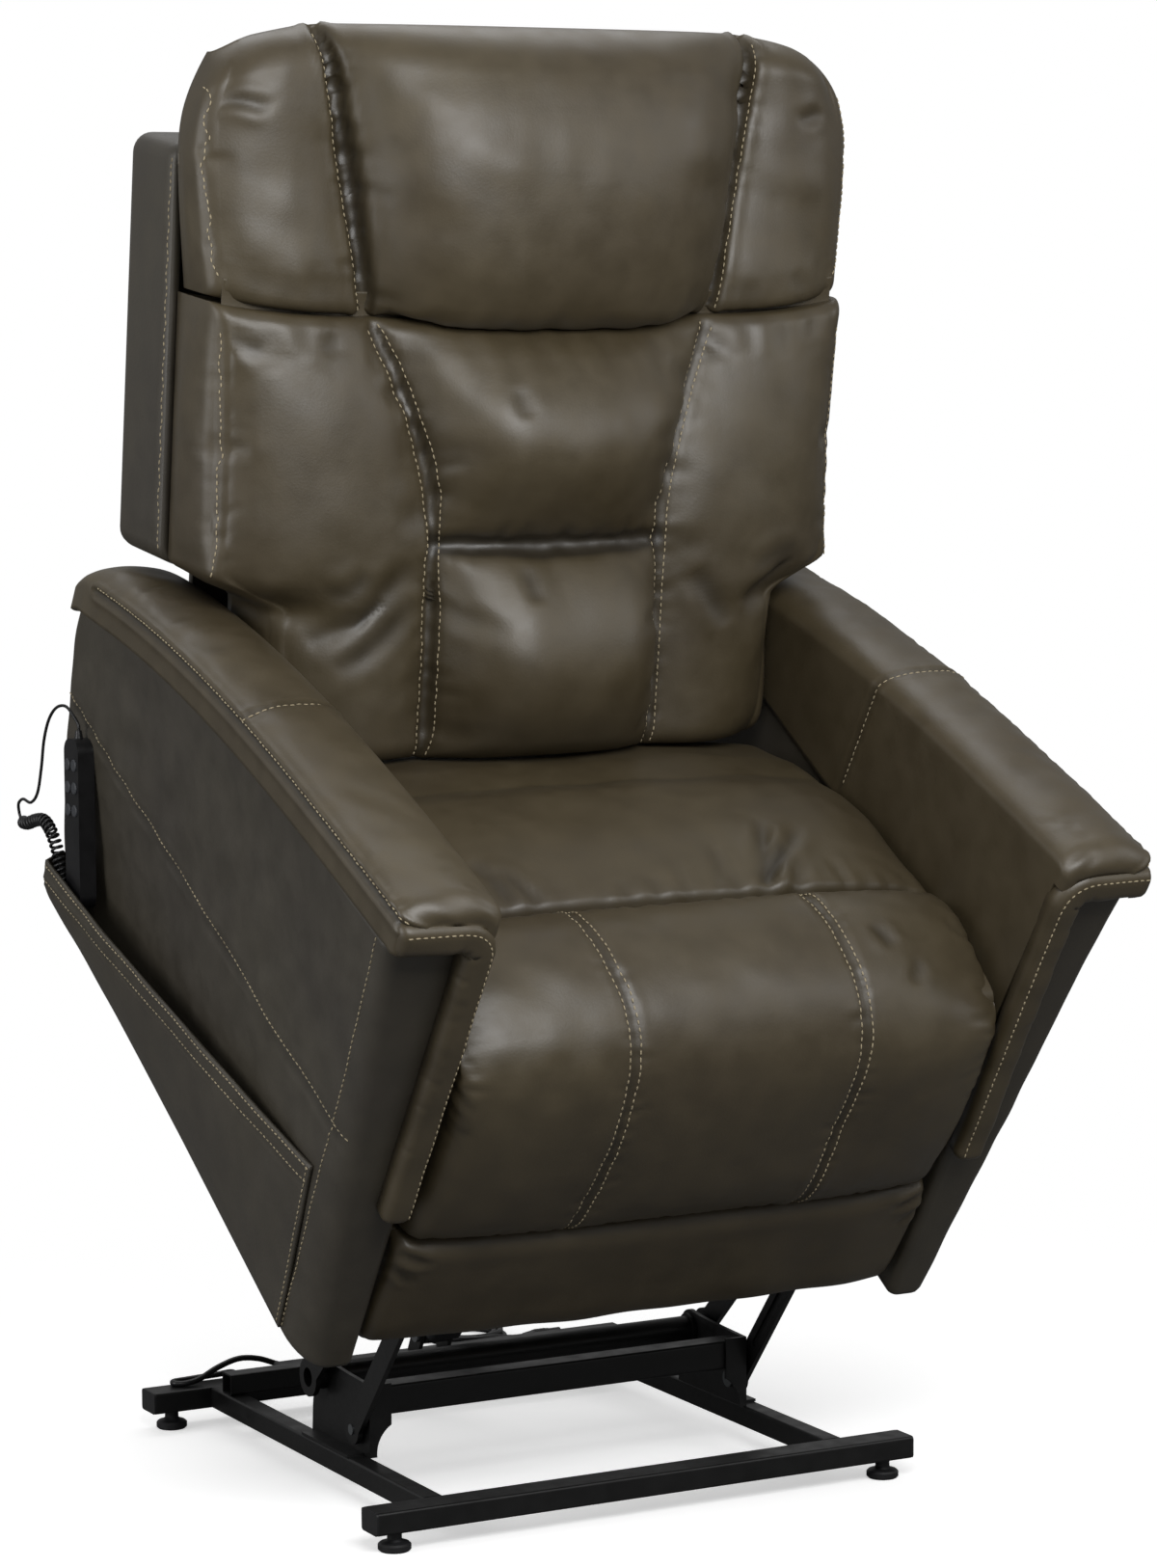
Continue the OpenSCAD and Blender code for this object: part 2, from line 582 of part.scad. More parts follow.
function roll_ring(i) = let (u = -1 + 2 * i / roll_cols, e = pow(abs(u), 5), x = roll_half * u)
    concat([for (p = roll_path) [x, p[0] + (p[0] < -60 ? 12 * e : 0), p[1] - 22 * e * clamp01((p[1] - 428) / 60)]],
        [for (p = roll_under) [x, p[0], p[1]]]);

module chaise_roll() color(leather) raised() skin([for (i = [roll_cols:-1:0]) roll_ring(i)], ladder = true);

// Panel across the back between the arms
module rear_skirt() color(leather) raised() translate([0, 630, 0]) rotate([90, 0, 0])
    linear_extrude(10, center = true) polygon([for (c = [[-1, 45], [1, 45], [1, 255], [-1, 255]])
        [c[0] * arm_inner(c[1]), c[1]]]);

// Plates that carry the footrest's hinge pins forward from the seat box
ear_x = 298;

module footrest_ears() color(black) raised() both_sides() {
    plate(ear_x, 4) polygon(softened([[-160, 446, 8], [-101, 443, 12], [-80, 360, 7], [-60, 364, 7],
        [-84, 463, 14], [-160, 464, 8]]));
    translate([seat_side_x + 22, -90, 352]) cube([ear_x - seat_side_x - 22, 40, 36]);
    cross_pin(footrest_hinge, hinge_ear_x - 5, ear_x + 4, 4);
}

// ---------- footrest ----------

board_y = -128;
board_t = 16;

// Board: wide at the hinges, and narrower below, where it hangs between the legs of the side plates
module footrest_board() color(plywood) raised() translate([0, board_y + board_t / 2, 0])
    rotate([90, 0, 0]) linear_extrude(board_t, center = true) {
        translate([0, 346]) rounded(588, 180, 24);
        translate([0, 168]) rounded(472, 216, 24);
    }

hinge_ear_x = 297;

// Hinge arms at both ends of the board, and the slotted bracket that the footrest motor pushes
module footrest_brackets() color(black) raised() {
    both_sides() difference() {
        plate(hinge_ear_x - 3, 3.5) polygon(softened([[-161, 448, 8], [board_y, 414, 6], [board_y, 322, 3],
            [-110, 322, 6], [-110, 428, 14], [-138, 465, 9], [-161, 465, 8]]));
        cross_pin(footrest_hinge, hinge_ear_x - 6, hinge_ear_x + 2, 4.05);
    }
    difference() {
        slotted_ears(motor_x[1], footrest_motor_tip, footrest_motor_tip + [-19, 18], [-100, 372], 22);
        translate([motor_x[1] - 30, board_y, 300]) cube([60, board_t, 140]);
    }
    translate([motor_x[1] - 25, board_y + board_t, 350]) cube([50, 3, 78]);
}

// Pad in front of the board: crowned, with its sides drawn in
pad_line = [[-200, 426], [-205, 400], [-206, 360], [-203, 315], [-199, 270], [-192, 236], [-182, 214],
    [-160, 207], [board_y, 209]];
foot_half = 320;
foot_cols = 13;

function foot_ring(i) = let (u = -1 + 2 * i / foot_cols, e = pow(abs(u), 5), x = foot_half * u)
    concat([for (p = pad_line) [x, p[0] + (p[0] < -170 ? 14 * e : 0), p[1]]],
        [[x, board_y, 300], [x, board_y, 408], [x, -150, 426]]);

module footrest_pad() color(leather) raised() skin([for (i = [foot_cols:-1:0]) foot_ring(i)]);

band_line = [[-140, 202], [-162, 203], [-176, 196], [-180, 184], [-177, 160], [-172, 110], [-168, 70],
    [-160, 50], [-140, 46], [board_y, 60], [board_y, 190]];
band_half = 327;

function band_ring(i) = let (u = -1 + 2 * i / 7, e = pow(abs(u), 6), x = band_half * u)
    [for (p = band_line) [x, p[0] + (p[0] < -150 ? 8 * e : 0), p[1]]];

module footrest_band() color(leather) raised() skin([for (i = [7:-1:0]) band_ring(i)]);

// ---------- back ----------

upright_x = back_plate_x + plate_t;
frame_face = back_face + slack;      // front of the back frame's timbers
hinge_rail_top = 281.5;

module back_frame() color(plywood) on_back() {
    both_sides() translate([upright_x, frame_face, -190]) cube([24, 24, 640]);
    translate([-back_plate_x, frame_face, -185]) cube([2 * back_plate_x, 24, 60]);
    for (z = [82, hinge_rail_top - 60, 376]) translate([-upright_x, frame_face, z])
        cube([2 * upright_x, 24, 60]);
    both_sides() for (z = [82, hinge_rail_top - 60, 376])
        translate([upright_x + 24, frame_face, z]) cube([shell_w - shell_wall - upright_x - 24, 24, 60]);
}

back_hinge_here = to_back(back_hinge);
push_tube = [474, 353.5];
bracket = [[-60, -278, 18], [-93, -190, 24], [-96, 77, 8], [-129, 77, 8], [-129.5, -202.5, 2],
    [-146, -203, 10], [-146, -232, 12], [-104, -279, 18]];

// Plates from the uprights down to the back hinge, joined by the tube that the back motor pushes
module back_brackets() color(black) {
    on_back() both_sides() difference() {
        plate(back_plate_x, plate_t) polygon(softened(bracket));
        cross_pin(back_hinge_here, back_plate_x - 1, back_plate_x + plate_t + 1, pin_r + 0.05);
    }
    raised() {
        difference() {
            cross_pin(push_tube, -back_plate_x, back_plate_x, 10);
            cross_pin(push_tube, -back_plate_x - 1, back_plate_x + 1, 8);
        }
        slotted_ears(motor_x[2], back_motor_tip, back_motor_tip + [2.4, -2.2], push_tube, 17);
    }
}

// Outer back: an upholstered tray behind the frame, with a lower tongue between the arms
shell_wall = 12;

module outer_back_shell() color(leather) on_back() {
    difference() {
        translate([0, 0, shell_h / 2]) rotate([90, 0, 0]) linear_extrude(shell_depth) rounded(2 * shell_w, shell_h, 22);
        translate([0, -shell_wall, shell_h / 2]) rotate([90, 0, 0]) linear_extrude(shell_depth)
            rounded(2 * (shell_w - shell_wall), shell_h - 2 * shell_wall, 10);
        translate([-310, -shell_depth - 1, -1]) cube([620, shell_depth - shell_wall + 1, shell_wall + 2]);
    }
    translate([-310, -shell_wall, -165]) cube([620, shell_wall, 175]);
}

// Back cushion, in stations up the back: three panels across, and two sewn creases in the middle one
back_stations = [-200, -196, -180, -150, -110, -60, -28, -10, 6, 22, 40, 52, 64, 90, 130, 175, 215, 245, 262, 274, 280];
stitch_half = 143;

function stitch_x(z) = stitch_half + 64 * pow(clamp01((z - 60) / 215), 1.6);
function back_half(z) = lerp(318, 392, clamp01((z + 20) / 24)) - 8 * pow(clamp01((-150 - z) / 50), 2);
function middle_front(z) = z < 52 ? -306 - 66 * lobe(z, -214, 54) : -302 - 50 * lobe(z, 50, 286);
function seam_front(z) = -277 + 40 * pow(clamp01((z - 60) / 220), 1.5);
// Front face at a share of the way across, from the middle out to the side seam
function back_front(x, z) = let (s = stitch_x(z), w = back_half(z), t = (abs(x) - s) / (w - s))
    abs(x) < s ? lerp(middle_front(z), seam_front(z), pow(abs(x) / s, 2.6))
    : seam_front(z) - 16 * sin(180 * clamp01(t)) + (seam_front(z) < -236 ? -236 - seam_front(z) : 0) * 0
      + (-232 - seam_front(z)) * pow(clamp01(t), 3);
function end_round(z, z0, z1, r) = r * (1 - sqrt(clamp01(1 - pow(clamp01((r - min(z - z0, z1 - z)) / r), 2))));
// Stations from side to side: shares of the middle panel and of the side panels
function across(s, w, sides, middle) = let (right = concat(s * middle, [for (k = sides) lerp(s, w, k)]))
    concat(-reversed(right), right);
// A ring of front points with a rear point straight behind each
function backed(front, rear) = concat(front, [for (p = reversed(front)) [p[0], rear, p[2]]]);
function back_ring(z) = let (w = back_half(z), s = stitch_x(z), d = end_round(z, -200, 280, 24))
    backed([for (x = across(s, w, [0.12, 0.35, 0.6, 0.82, 1], [0.15, 0.45, 0.75, 0.97]))
        [x, abs(x) < s ? back_front(x, z) + d : min(back_front(x, z) + d, back_face - 20), z]], back_face);

// Lifts the top of the cushion a little towards the sides, where the wing seam rises
function swept(ring, z, from, by) = [for (p = ring)
    p + [0, 0, by * pow(abs(p[0]) / 392, 4) * clamp01((z - from) / (280 - from))]];

module back_cushion() color(leather) on_back() skin(reversed([for (z = back_stations) swept(back_ring(z), z, 150, 18)]), ladder = true);

// ---------- headrest ----------

head_stations = [0, 0.02, 0.06, 0.14, 0.26, 0.42, 0.58, 0.74, 0.86, 0.94, 0.98, 1];
head_bottom = 292.5;
head_top = 602;
head_rear = -147;

function head_half(t) = 392 + 14 * sin(180 * clamp01(t / 1.3)) - 26 * pow(t, 6);
function pillow_half(t) = 214 + 52 * t;
function pillow_front(t) = -250 - 84 * pow(sin(180 * clamp01(0.1 + 0.62 * t)), 1) * (1 - 0.75 * pow(t, 3));
function wing_front(t) = -232 + 30 * t;
function head_front(x, t) = let (s = pillow_half(t), w = head_half(t), k = (abs(x) - s) / (w - s))
    abs(x) < s ? lerp(pillow_front(t), wing_front(t) - 6, pow(abs(x) / s, 3.2))
    : wing_front(t) - 12 * sin(180 * clamp01(k)) + 26 * pow(clamp01(k), 4);
function head_ring(t) = let (w = head_half(t), s = pillow_half(t), z = lerp(head_bottom, head_top, t),
        d = end_round(t, 0, 1, 0.14) * 320)
    backed([for (x = across(s, w, [0.2, 0.5, 0.8, 1], [0.17, 0.5, 0.8, 0.97]))
        [x, abs(x) < s ? head_front(x, t) + d : min(head_front(x, t) + d, head_rear - 20), z]], head_rear);
function head_sweep(ring, t) = [for (p = ring) let (u = abs(p[0]) / 392)
    p + [0, 0, 21 * pow(u, 4) * (1 - t) - 36 * pow(u, 4) * t - (p[1] == head_rear ? 10 * pow(t, 8) : 0)]];

module headrest_cushion() color(leather) on_back()
    skin(reversed([for (t = head_stations) head_sweep(head_ring(t), t)]), ladder = true);

plate_rear = head_rear + 12.3;       // back of the head board

// Head board, and the middle leaf of each hinge with its upstand behind the board
module headrest_plate() color(plywood) on_back() {
    translate([0, head_rear + 6.3, 432]) rotate([90, 0, 0]) linear_extrude(12, center = true)
        rounded(690, 270, 40);
    for (x = [-hinge_x, hinge_x]) difference() {
        union() {
            cross_pin(head_hinge, x - 7.5, x + 7.5, 4.5);
            translate([x - 7.5, head_hinge[0], head_hinge[1] + 1.5]) cube([15, plate_rear + 3 - head_hinge[0], 3]);
            translate([x - 7.5, plate_rear, head_hinge[1] + 1.5]) cube([15, 3, 44]);
        }
        cross_pin(head_hinge, x - 9, x + 9, 2.05);
    }
}

hinge_x = 150;
hinge_leaf = 46;

// Butt hinges between the back frame and the head board, in the crease under the pillow
module headrest_hinges() color(black) on_back() for (x = [-hinge_x, hinge_x]) {
    for (s = [-1, 1]) {
        cross_pin(head_hinge, x + s * 15.5 - 7.5, x + s * 15.5 + 7.5, 4.5);
        translate([x + s * 15.5 - 7.5, head_hinge[0], hinge_rail_top]) cube([15, frame_face + 24 - head_hinge[0], 3]);
    }
    cross_pin(head_hinge, x - hinge_leaf / 2 - 1, x + hinge_leaf / 2 + 1, 2);
}

// ---------- handset ----------

handset_x = -425.4;
handset_y = 200;
handset_top = 826;
handset_len = 195;

module handset_at() based() translate([handset_x, handset_y, handset_top]) children();

// Moulded handset, hung upright in the pocket: waisted sides, domed face and a cord boss at the top
module handset() color(black) handset_at() difference() {
    union() {
        translate([0, 0, -handset_len / 2]) rotate([90, 0, 90]) linear_extrude(20, center = true)
            rounded(42, handset_len, 16);
        cylinder(9, 5, 3.6);
    }
    for (k = [0:2], s = [-1, 1]) button_place(k, s) cylinder(8, 7.05, 7.05);
    translate([0, 0, 4]) cylinder(20, 2.1, 2.1);
}

module button_place(k, s) translate([-6, s * 9.5, -30 - 26 * k]) rotate([0, -90, 0]) children();

module button(k, s) button_place(k, s) {
    translate([0, 0, 1.6]) cylinder(3.4, 7, 7);
    translate([0, 0, 5]) cylinder(0.8, 7, 6);
}

button_grey = "#3b3d40";

module button_raise() color(button_grey) handset_at() button(0, 1);

module button_lower() color(button_grey) handset_at() button(0, -1);

module button_recline() color(button_grey) handset_at() button(1, 1);

module button_upright() color(button_grey) handset_at() button(1, -1);

module button_head_forward() color(button_grey) handset_at() button(2, 1);

module button_head_back() color(button_grey) handset_at() button(2, -1);

lead_r = 1.9;
lead_start = [handset_x, handset_y, handset_top + 4.5];
lead_points = [lead_start, lead_start + [0, 0, 10], [-428, 208, 851], [-431, 224, 861], [-434, 245, 858],
    [-436, 264, 843], [-437, 278, 818], [-437, 288, 785], [-438, 299, 755], [-439, 318, 742], [-440, 340, 744],
    [-440, 355, 737], [-438, 358, 725]];
curl_points = [[-438, 358, 725], [-437, 352, 717], [-437, 335, 716], [-436, 310, 722], [-436, 285, 724],
    [-436, 264, 714], [-434, 251, 694], [-433, 244, 674], [-430, 240, 656], [-426, 236, 640],
    [-420, 228, 622], [-411, 214, 607], [-404, 205, 600], [-401.2, 202, 597.5]];
curl_r = 6.2;
curl_steps = 8;
curl_run = 8;                        // spans of the line that carry curls

module handset_lead() color(black) based() tube(smooth(lead_points, 3), lead_r, 8);

curl_line = smooth(curl_points, 26);
curl_first = 26;
curl_last = 26 * curl_run;
function along_line(s) = let (i = clamp01(s) * (len(curl_line) - 1), k = min(floor(i), len(curl_line) - 2))
    lerp(curl_line[k], curl_line[k + 1], i - k);
curl_total = curls * curl_steps;
s_first = curl_first / (len(curl_line) - 1);
s_last = curl_last / (len(curl_line) - 1);
curl_dirs = tangents([for (i = [0:curl_total]) along_line(lerp(s_first, s_last, i / curl_total))]);
curl_across = carried(curl_dirs, 0, unit(cross(curl_dirs[0], [1, 0, 0])), []);
// The helix about the line: it leaves and joins the line over its first and last half turn
function curl_point(i) = let (r = curl_r * clamp01(min(i, curl_total - i) / 4), a = 360 * i / curl_steps)
    along_line(lerp(s_first, s_last, i / curl_total))
    + r * (cos(a) * curl_across[i] + sin(a) * cross(curl_dirs[i], curl_across[i]));
curl_path = concat([for (i = [0:13:13]) curl_line[i]], [for (i = [0:curl_total]) curl_point(i)],
    [for (i = [curl_last + 14:14:len(curl_line) - 1]) curl_line[i]], [curl_line[len(curl_line) - 1]]);

module handset_curls() color(black) based() tube(curl_path, lead_r * 0.85, 6);

// Least gap of a wound tube to itself, between points at least half a turn apart
function least_gap(p, skip, r) = min([for (i = [0:2:len(p) - 1 - skip], j = [i + skip:len(p) - 1])
    norm(p[i] - p[j])]) - 2 * r;

// ---------- power lead ----------

power_r = 3.5;
power_start = [junction[0], junction[1] + 28, junction[2]];
coil_mid = [200, 480, 3.6];
coil_gap = 8;
coil_r = 36.5;
coil_steps = 24;
coil_half = lead_turns * coil_steps;
// Two layers: in over the first, up in half a turn, and out again over the second
function coil_point(i) = let (k = abs(i - coil_half) / coil_steps, a = -90 + 360 * i / coil_steps,
        z = coil_gap * clamp01((i - coil_half + 6) / 12))
    coil_mid + [(coil_r + coil_gap * k) * cos(a), (coil_r + coil_gap * k) * sin(a), z];
coil_in = coil_point(0) + [-7, 0, 0];
coil_out = coil_point(2 * coil_half);
coil_tail = [[7, 0, 0], [14, 0, -0.1], [24, 0, -1.2], [34, 0, -3], [42, 0, -4], [50, 0, -4.2], [57, 0, -4.2]];
coil_path = concat([coil_in], [for (i = [0:2 * coil_half]) coil_point(i)], [for (p = coil_tail) coil_out + p]);
power_points = [power_start, power_start + [0, 10, 0], [-168, 246, 60], [-190, 250, 68], [-216, 250, 71],
    [-244, 248, 64], [-268, 245, 54], [-286, 244, 50.8], [-298, 249, 50.8], [-296, 259, 50.8],
    [-276, 262, 50.8], [-240, 262, 52], [-216, 267, 51], [-203, 277, 38], [-190, 288, 20],
    [-170, 304, 7], [-140, 324, 4], [-90, 350, 3.7], [-20, 376, 3.7], [60, 402, 3.7], [130, 422, 3.7],
    [165, 427.5, 3.6], coil_in];

module power_lead() color(black) based() tube(smooth(power_points, 2), power_r, 8);

module power_lead_coil() color(black) based() tube(coil_path, power_r, 6);

// Two-pole in-line connector with a ribbed grip and a socketed nose
module power_connector() color(black) based() translate(coil_out + coil_tail[6]) rotate([0, 90, 0]) {
    cylinder(14, 4.2, 6.5);
    translate([0, 0, 14]) cylinder(22, 6.8, 6.8);
    for (k = [0:3]) translate([0, 0, 17 + 4 * k]) cylinder(2, 7.3, 7.3);
    translate([0, 0, 36]) difference() {
        cylinder(16, 6.2, 6.2);
        for (s = [-1, 1]) translate([0, s * 2.6, 6]) cylinder(12, 1.4, 1.4);
    }
}

echo(lift_links = [dist(upper_base, to_base(upper_chair)), dist(upper_base, upper_chair + [lowered_y, 0]),
    dist(lower_base, to_base(lower_chair)), dist(lower_base, lower_chair + [lowered_y, 0])]);
echo(curl_gap = least_gap(curl_path, 6, lead_r * 0.85), coil_gap_left = least_gap(coil_path, 12, power_r));

front_rail();
rear_rail();
side_rails();
rail_end_caps();
levelling_feet();
foot_studs();
riser_brackets();
front_cross_tube();
motor_cross_tube();
base_pivot_pins();
junction_box();
upper_lift_links();
lift_torque_tube();
lower_lift_links();
lift_motor();
lift_motor_rod();
mechanism_plates();
chair_pivot_pins();
seat_cross_tubes();
seat_frame();
seat_springs();
arm_mounts();
arm_frames();
arm_shell_right();
arm_shell_left();
arm_pad_right();
arm_pad_left();
arm_front_trims();
side_pocket();
seat_cushion();
chaise_roll();
rear_skirt();
footrest_ears();
footrest_motor();
footrest_motor_rod();
footrest_board();
footrest_brackets();
footrest_pad();
footrest_band();
backrest_motor();
backrest_motor_rod();
back_frame();
back_brackets();
outer_back_shell();
back_cushion();
headrest_hinges();
headrest_plate();
headrest_cushion();
handset();
button_raise();
button_lower();
button_recline();
button_upright();
button_head_forward();
button_head_back();
handset_lead();
handset_curls();
power_lead();
power_lead_coil();
power_connector();
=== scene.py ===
"""Lift recliner: padded leather, topstitching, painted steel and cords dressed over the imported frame."""

import json
import logging
import math
from dataclasses import dataclass, field
from enum import Enum
from typing import Callable

import bmesh
import bpy
import numpy as np
from mathutils import Matrix, Vector
from mathutils.bvhtree import BVHTree
from mathutils.kdtree import KDTree


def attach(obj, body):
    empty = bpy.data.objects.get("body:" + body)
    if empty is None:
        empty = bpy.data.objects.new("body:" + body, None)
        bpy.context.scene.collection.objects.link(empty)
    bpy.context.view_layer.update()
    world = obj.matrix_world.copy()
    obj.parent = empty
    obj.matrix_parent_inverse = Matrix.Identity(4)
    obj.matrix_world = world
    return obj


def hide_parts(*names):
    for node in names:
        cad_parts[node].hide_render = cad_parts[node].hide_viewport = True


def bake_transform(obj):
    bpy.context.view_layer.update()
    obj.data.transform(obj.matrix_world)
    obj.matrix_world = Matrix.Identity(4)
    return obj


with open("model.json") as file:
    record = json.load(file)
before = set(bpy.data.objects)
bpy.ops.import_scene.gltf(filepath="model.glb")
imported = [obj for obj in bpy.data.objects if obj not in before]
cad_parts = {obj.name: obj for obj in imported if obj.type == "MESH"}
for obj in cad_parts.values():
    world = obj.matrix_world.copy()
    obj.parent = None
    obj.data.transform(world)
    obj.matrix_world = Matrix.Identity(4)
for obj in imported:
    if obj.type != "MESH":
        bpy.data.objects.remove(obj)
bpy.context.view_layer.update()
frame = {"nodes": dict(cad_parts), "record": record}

logging.basicConfig(level=logging.INFO, format="%(name)s: %(message)s")
LOG = logging.getLogger("recliner")

Array = np.ndarray
TILT = math.radians(32.6)        # how far the raised chair leans forwards
LEAN = math.radians(25.0)        # how far the back leans from the seat
FRAME_Y = 165.0                  # mm from the base drawing to the shared frame
SEAT_Z = 310.0                   # mm from the tilt's centre up to the seated drawing's floor
BACK_FOOT = (685.0, 496.0)       # the back drawing's origin in the seated drawing: y and z, mm
FAR = 1e6                        # flat place of points that no fold or stitch reaches
SAME_POINT = 2e-6                # m: points nearer than this are one
SIM_POINT = 0.0006               # m: the same on the coarse grid of the cloth step
SIM_FRAMES = 20
SIM_HOLD = 10.0                  # mm to each side of a seam that the cloth step holds down
SIM_WORKED = (0.2, 60.0)         # mm: a cover that moves less or more than this wasn't simulated rightly
THREAD_RISE = 0.0003             # m that a stitch's middle lies above the leather
STITCH = {"Pitch": 0.0078, "Stitch length": 0.0062, "Thread width": 0.0019}     # m
SEED = 7


# ---------- numbers and places ----------

def clamp(t: Array) -> Array:
    """Keeps values between 0 and 1."""
    return np.clip(t, 0.0, 1.0)


def mix(a: Array, b: Array, t: Array) -> Array:
    """Straight-line blend from a to b."""
    return a + (np.asarray(b) - a) * t


def standing(points: Array) -> Array:
    """Base drawing in millimetres to the shared frame in metres."""
    p = np.asarray(points, float)
    return (p + [0.0, FRAME_Y, 0.0]) / 1000.0


def seated(points: Array) -> Array:
    """Seated drawing in millimetres to the raised chair's place in metres."""
    p = np.asarray(points, float)
    c, s, z = math.cos(TILT), math.sin(TILT), p[..., 2] + SEAT_Z
    return standing(np.stack([p[..., 0], p[..., 1] * c - z * s, p[..., 1] * s + z * c], -1))


def leaning(points: Array) -> Array:
    """The back's own drawing in millimetres to its place in metres."""
    p = np.asarray(points, float)
    c, s = math.cos(LEAN), math.sin(LEAN)
    return seated(np.stack([p[..., 0], BACK_FOOT[0] + p[..., 1] * c + p[..., 2] * s,
                            BACK_FOOT[1] - p[..., 1] * s + p[..., 2] * c], -1))


def arc_length(chain: Array) -> Array:
    """Running length along a chain of points."""
    return np.concatenate([[0.0], np.cumsum(np.linalg.norm(np.diff(chain, axis=0), axis=1))])


def spread(line: Array, count: int) -> Array:
    """Points spaced evenly along a polyline.

    Args:
        line: corner points, one to a row.
        count: how many points to return.

    Returns:
        The points, ends included.
    """
    p = np.asarray(line, float)
    run = arc_length(p)
    at = np.linspace(0.0, run[-1], count)
    return np.stack([np.interp(at, run, p[:, k]) for k in range(p.shape[1])], -1)


def curved(points: Array, steps: int) -> Array:
    """Smooth curve through set points, with a number of steps to each span."""
    p = np.asarray(points, float)
    out, last = [], len(p) - 1
    for i in range(last):
        a, b, c, d = p[max(i - 1, 0)], p[i], p[i + 1], p[min(i + 2, last)]
        for s in range(steps):
            t = s / steps
            out.append(0.5 * (2 * b + (c - a) * t + (2 * a - 5 * b + 4 * c - d) * t * t
                              + (3 * b - a - 3 * c + d) * t ** 3))
    return np.array(out + [p[last]])


def length_of(line: Array) -> float:
    """Length of a polyline."""
    return float(np.linalg.norm(np.diff(np.asarray(line, float), axis=0), axis=1).sum())


def unit(v: Array) -> Array:
    """Unit vectors."""
    return v / np.maximum(np.linalg.norm(v, axis=-1, keepdims=True), 1e-9)


def softened(line: Array) -> Array:
    """A seam of more than two points as a smooth curve, a shorter one as it is."""
    return curved(line, 6) if len(line) > 2 else np.asarray(line, float)


def distance_to(points: Array, line: Array) -> tuple[Array, Array]:
    """Distance from points to a polyline, and how far along it the nearest place is, from 0 to 1."""
    p, q = np.asarray(points, float), np.asarray(line, float)
    run = arc_length(q)
    best, along = np.full(p.shape[:-1], 1e9), np.zeros(p.shape[:-1])
    for i in range(len(q) - 1):
        d = q[i + 1] - q[i]
        t = clamp(((p - q[i]) @ d) / max(float(d @ d), 1e-12))
        gap = np.linalg.norm(p - (q[i] + t[..., None] * d), axis=-1)
        nearer = gap < best
        best = np.where(nearer, gap, best)
        along = np.where(nearer, (run[i] + t * (run[i + 1] - run[i])) / max(run[-1], 1e-9), along)
    return best, along


def ripple(points: Array, size: float, seed: int) -> Array:
    """Soft seeded unevenness, about -1 to 1, whose swells are about size wide."""
    rng = np.random.default_rng(SEED + seed)
    p, total = np.asarray(points, float), 0.0
    for _ in range(9):
        way = rng.normal(size=p.shape[-1])
        way *= rng.uniform(0.7, 1.5) / np.linalg.norm(way) * 2 * math.pi / size
        total = total + np.sin(p @ way + rng.uniform(0, 2 * math.pi))
    return total / 4.0


# ---------- finishes ----------

def linear(colour: str) -> tuple[float, float, float, float]:
    """A colour written as sRGB hex, in the linear values that shaders take."""
    parts = [int(colour[i:i + 2], 16) / 255.0 for i in (1, 3, 5)]
    return (*[c / 12.92 if c <= 0.04045 else ((c + 0.055) / 1.055) ** 2.4 for c in parts], 1.0)


def add(tree: bpy.types.NodeTree, kind: str, settings: dict | None = None,
        links: dict | None = None) -> bpy.types.Node:
    """Adds a node to a tree.

    Args:
        tree: the node tree.
        kind: the node's type name.
        settings: attributes and input values by name or number.
        links: the output that feeds each input, by input name or number.

    Returns:
        The node.
    """
    node = tree.nodes.new(kind)
    for key, value in (settings or {}).items():
        if isinstance(key, str) and hasattr(node, key) and key not in node.inputs:
            setattr(node, key, value)
        else:
            node.inputs[key].default_value = value
    feed(node, links or {})
    return node


def feed(node: bpy.types.Node, links: dict) -> None:
    """Links an output to each input of a node, by input name or number."""
    for key, output in links.items():
        node.id_data.links.new(output, node.inputs[key])


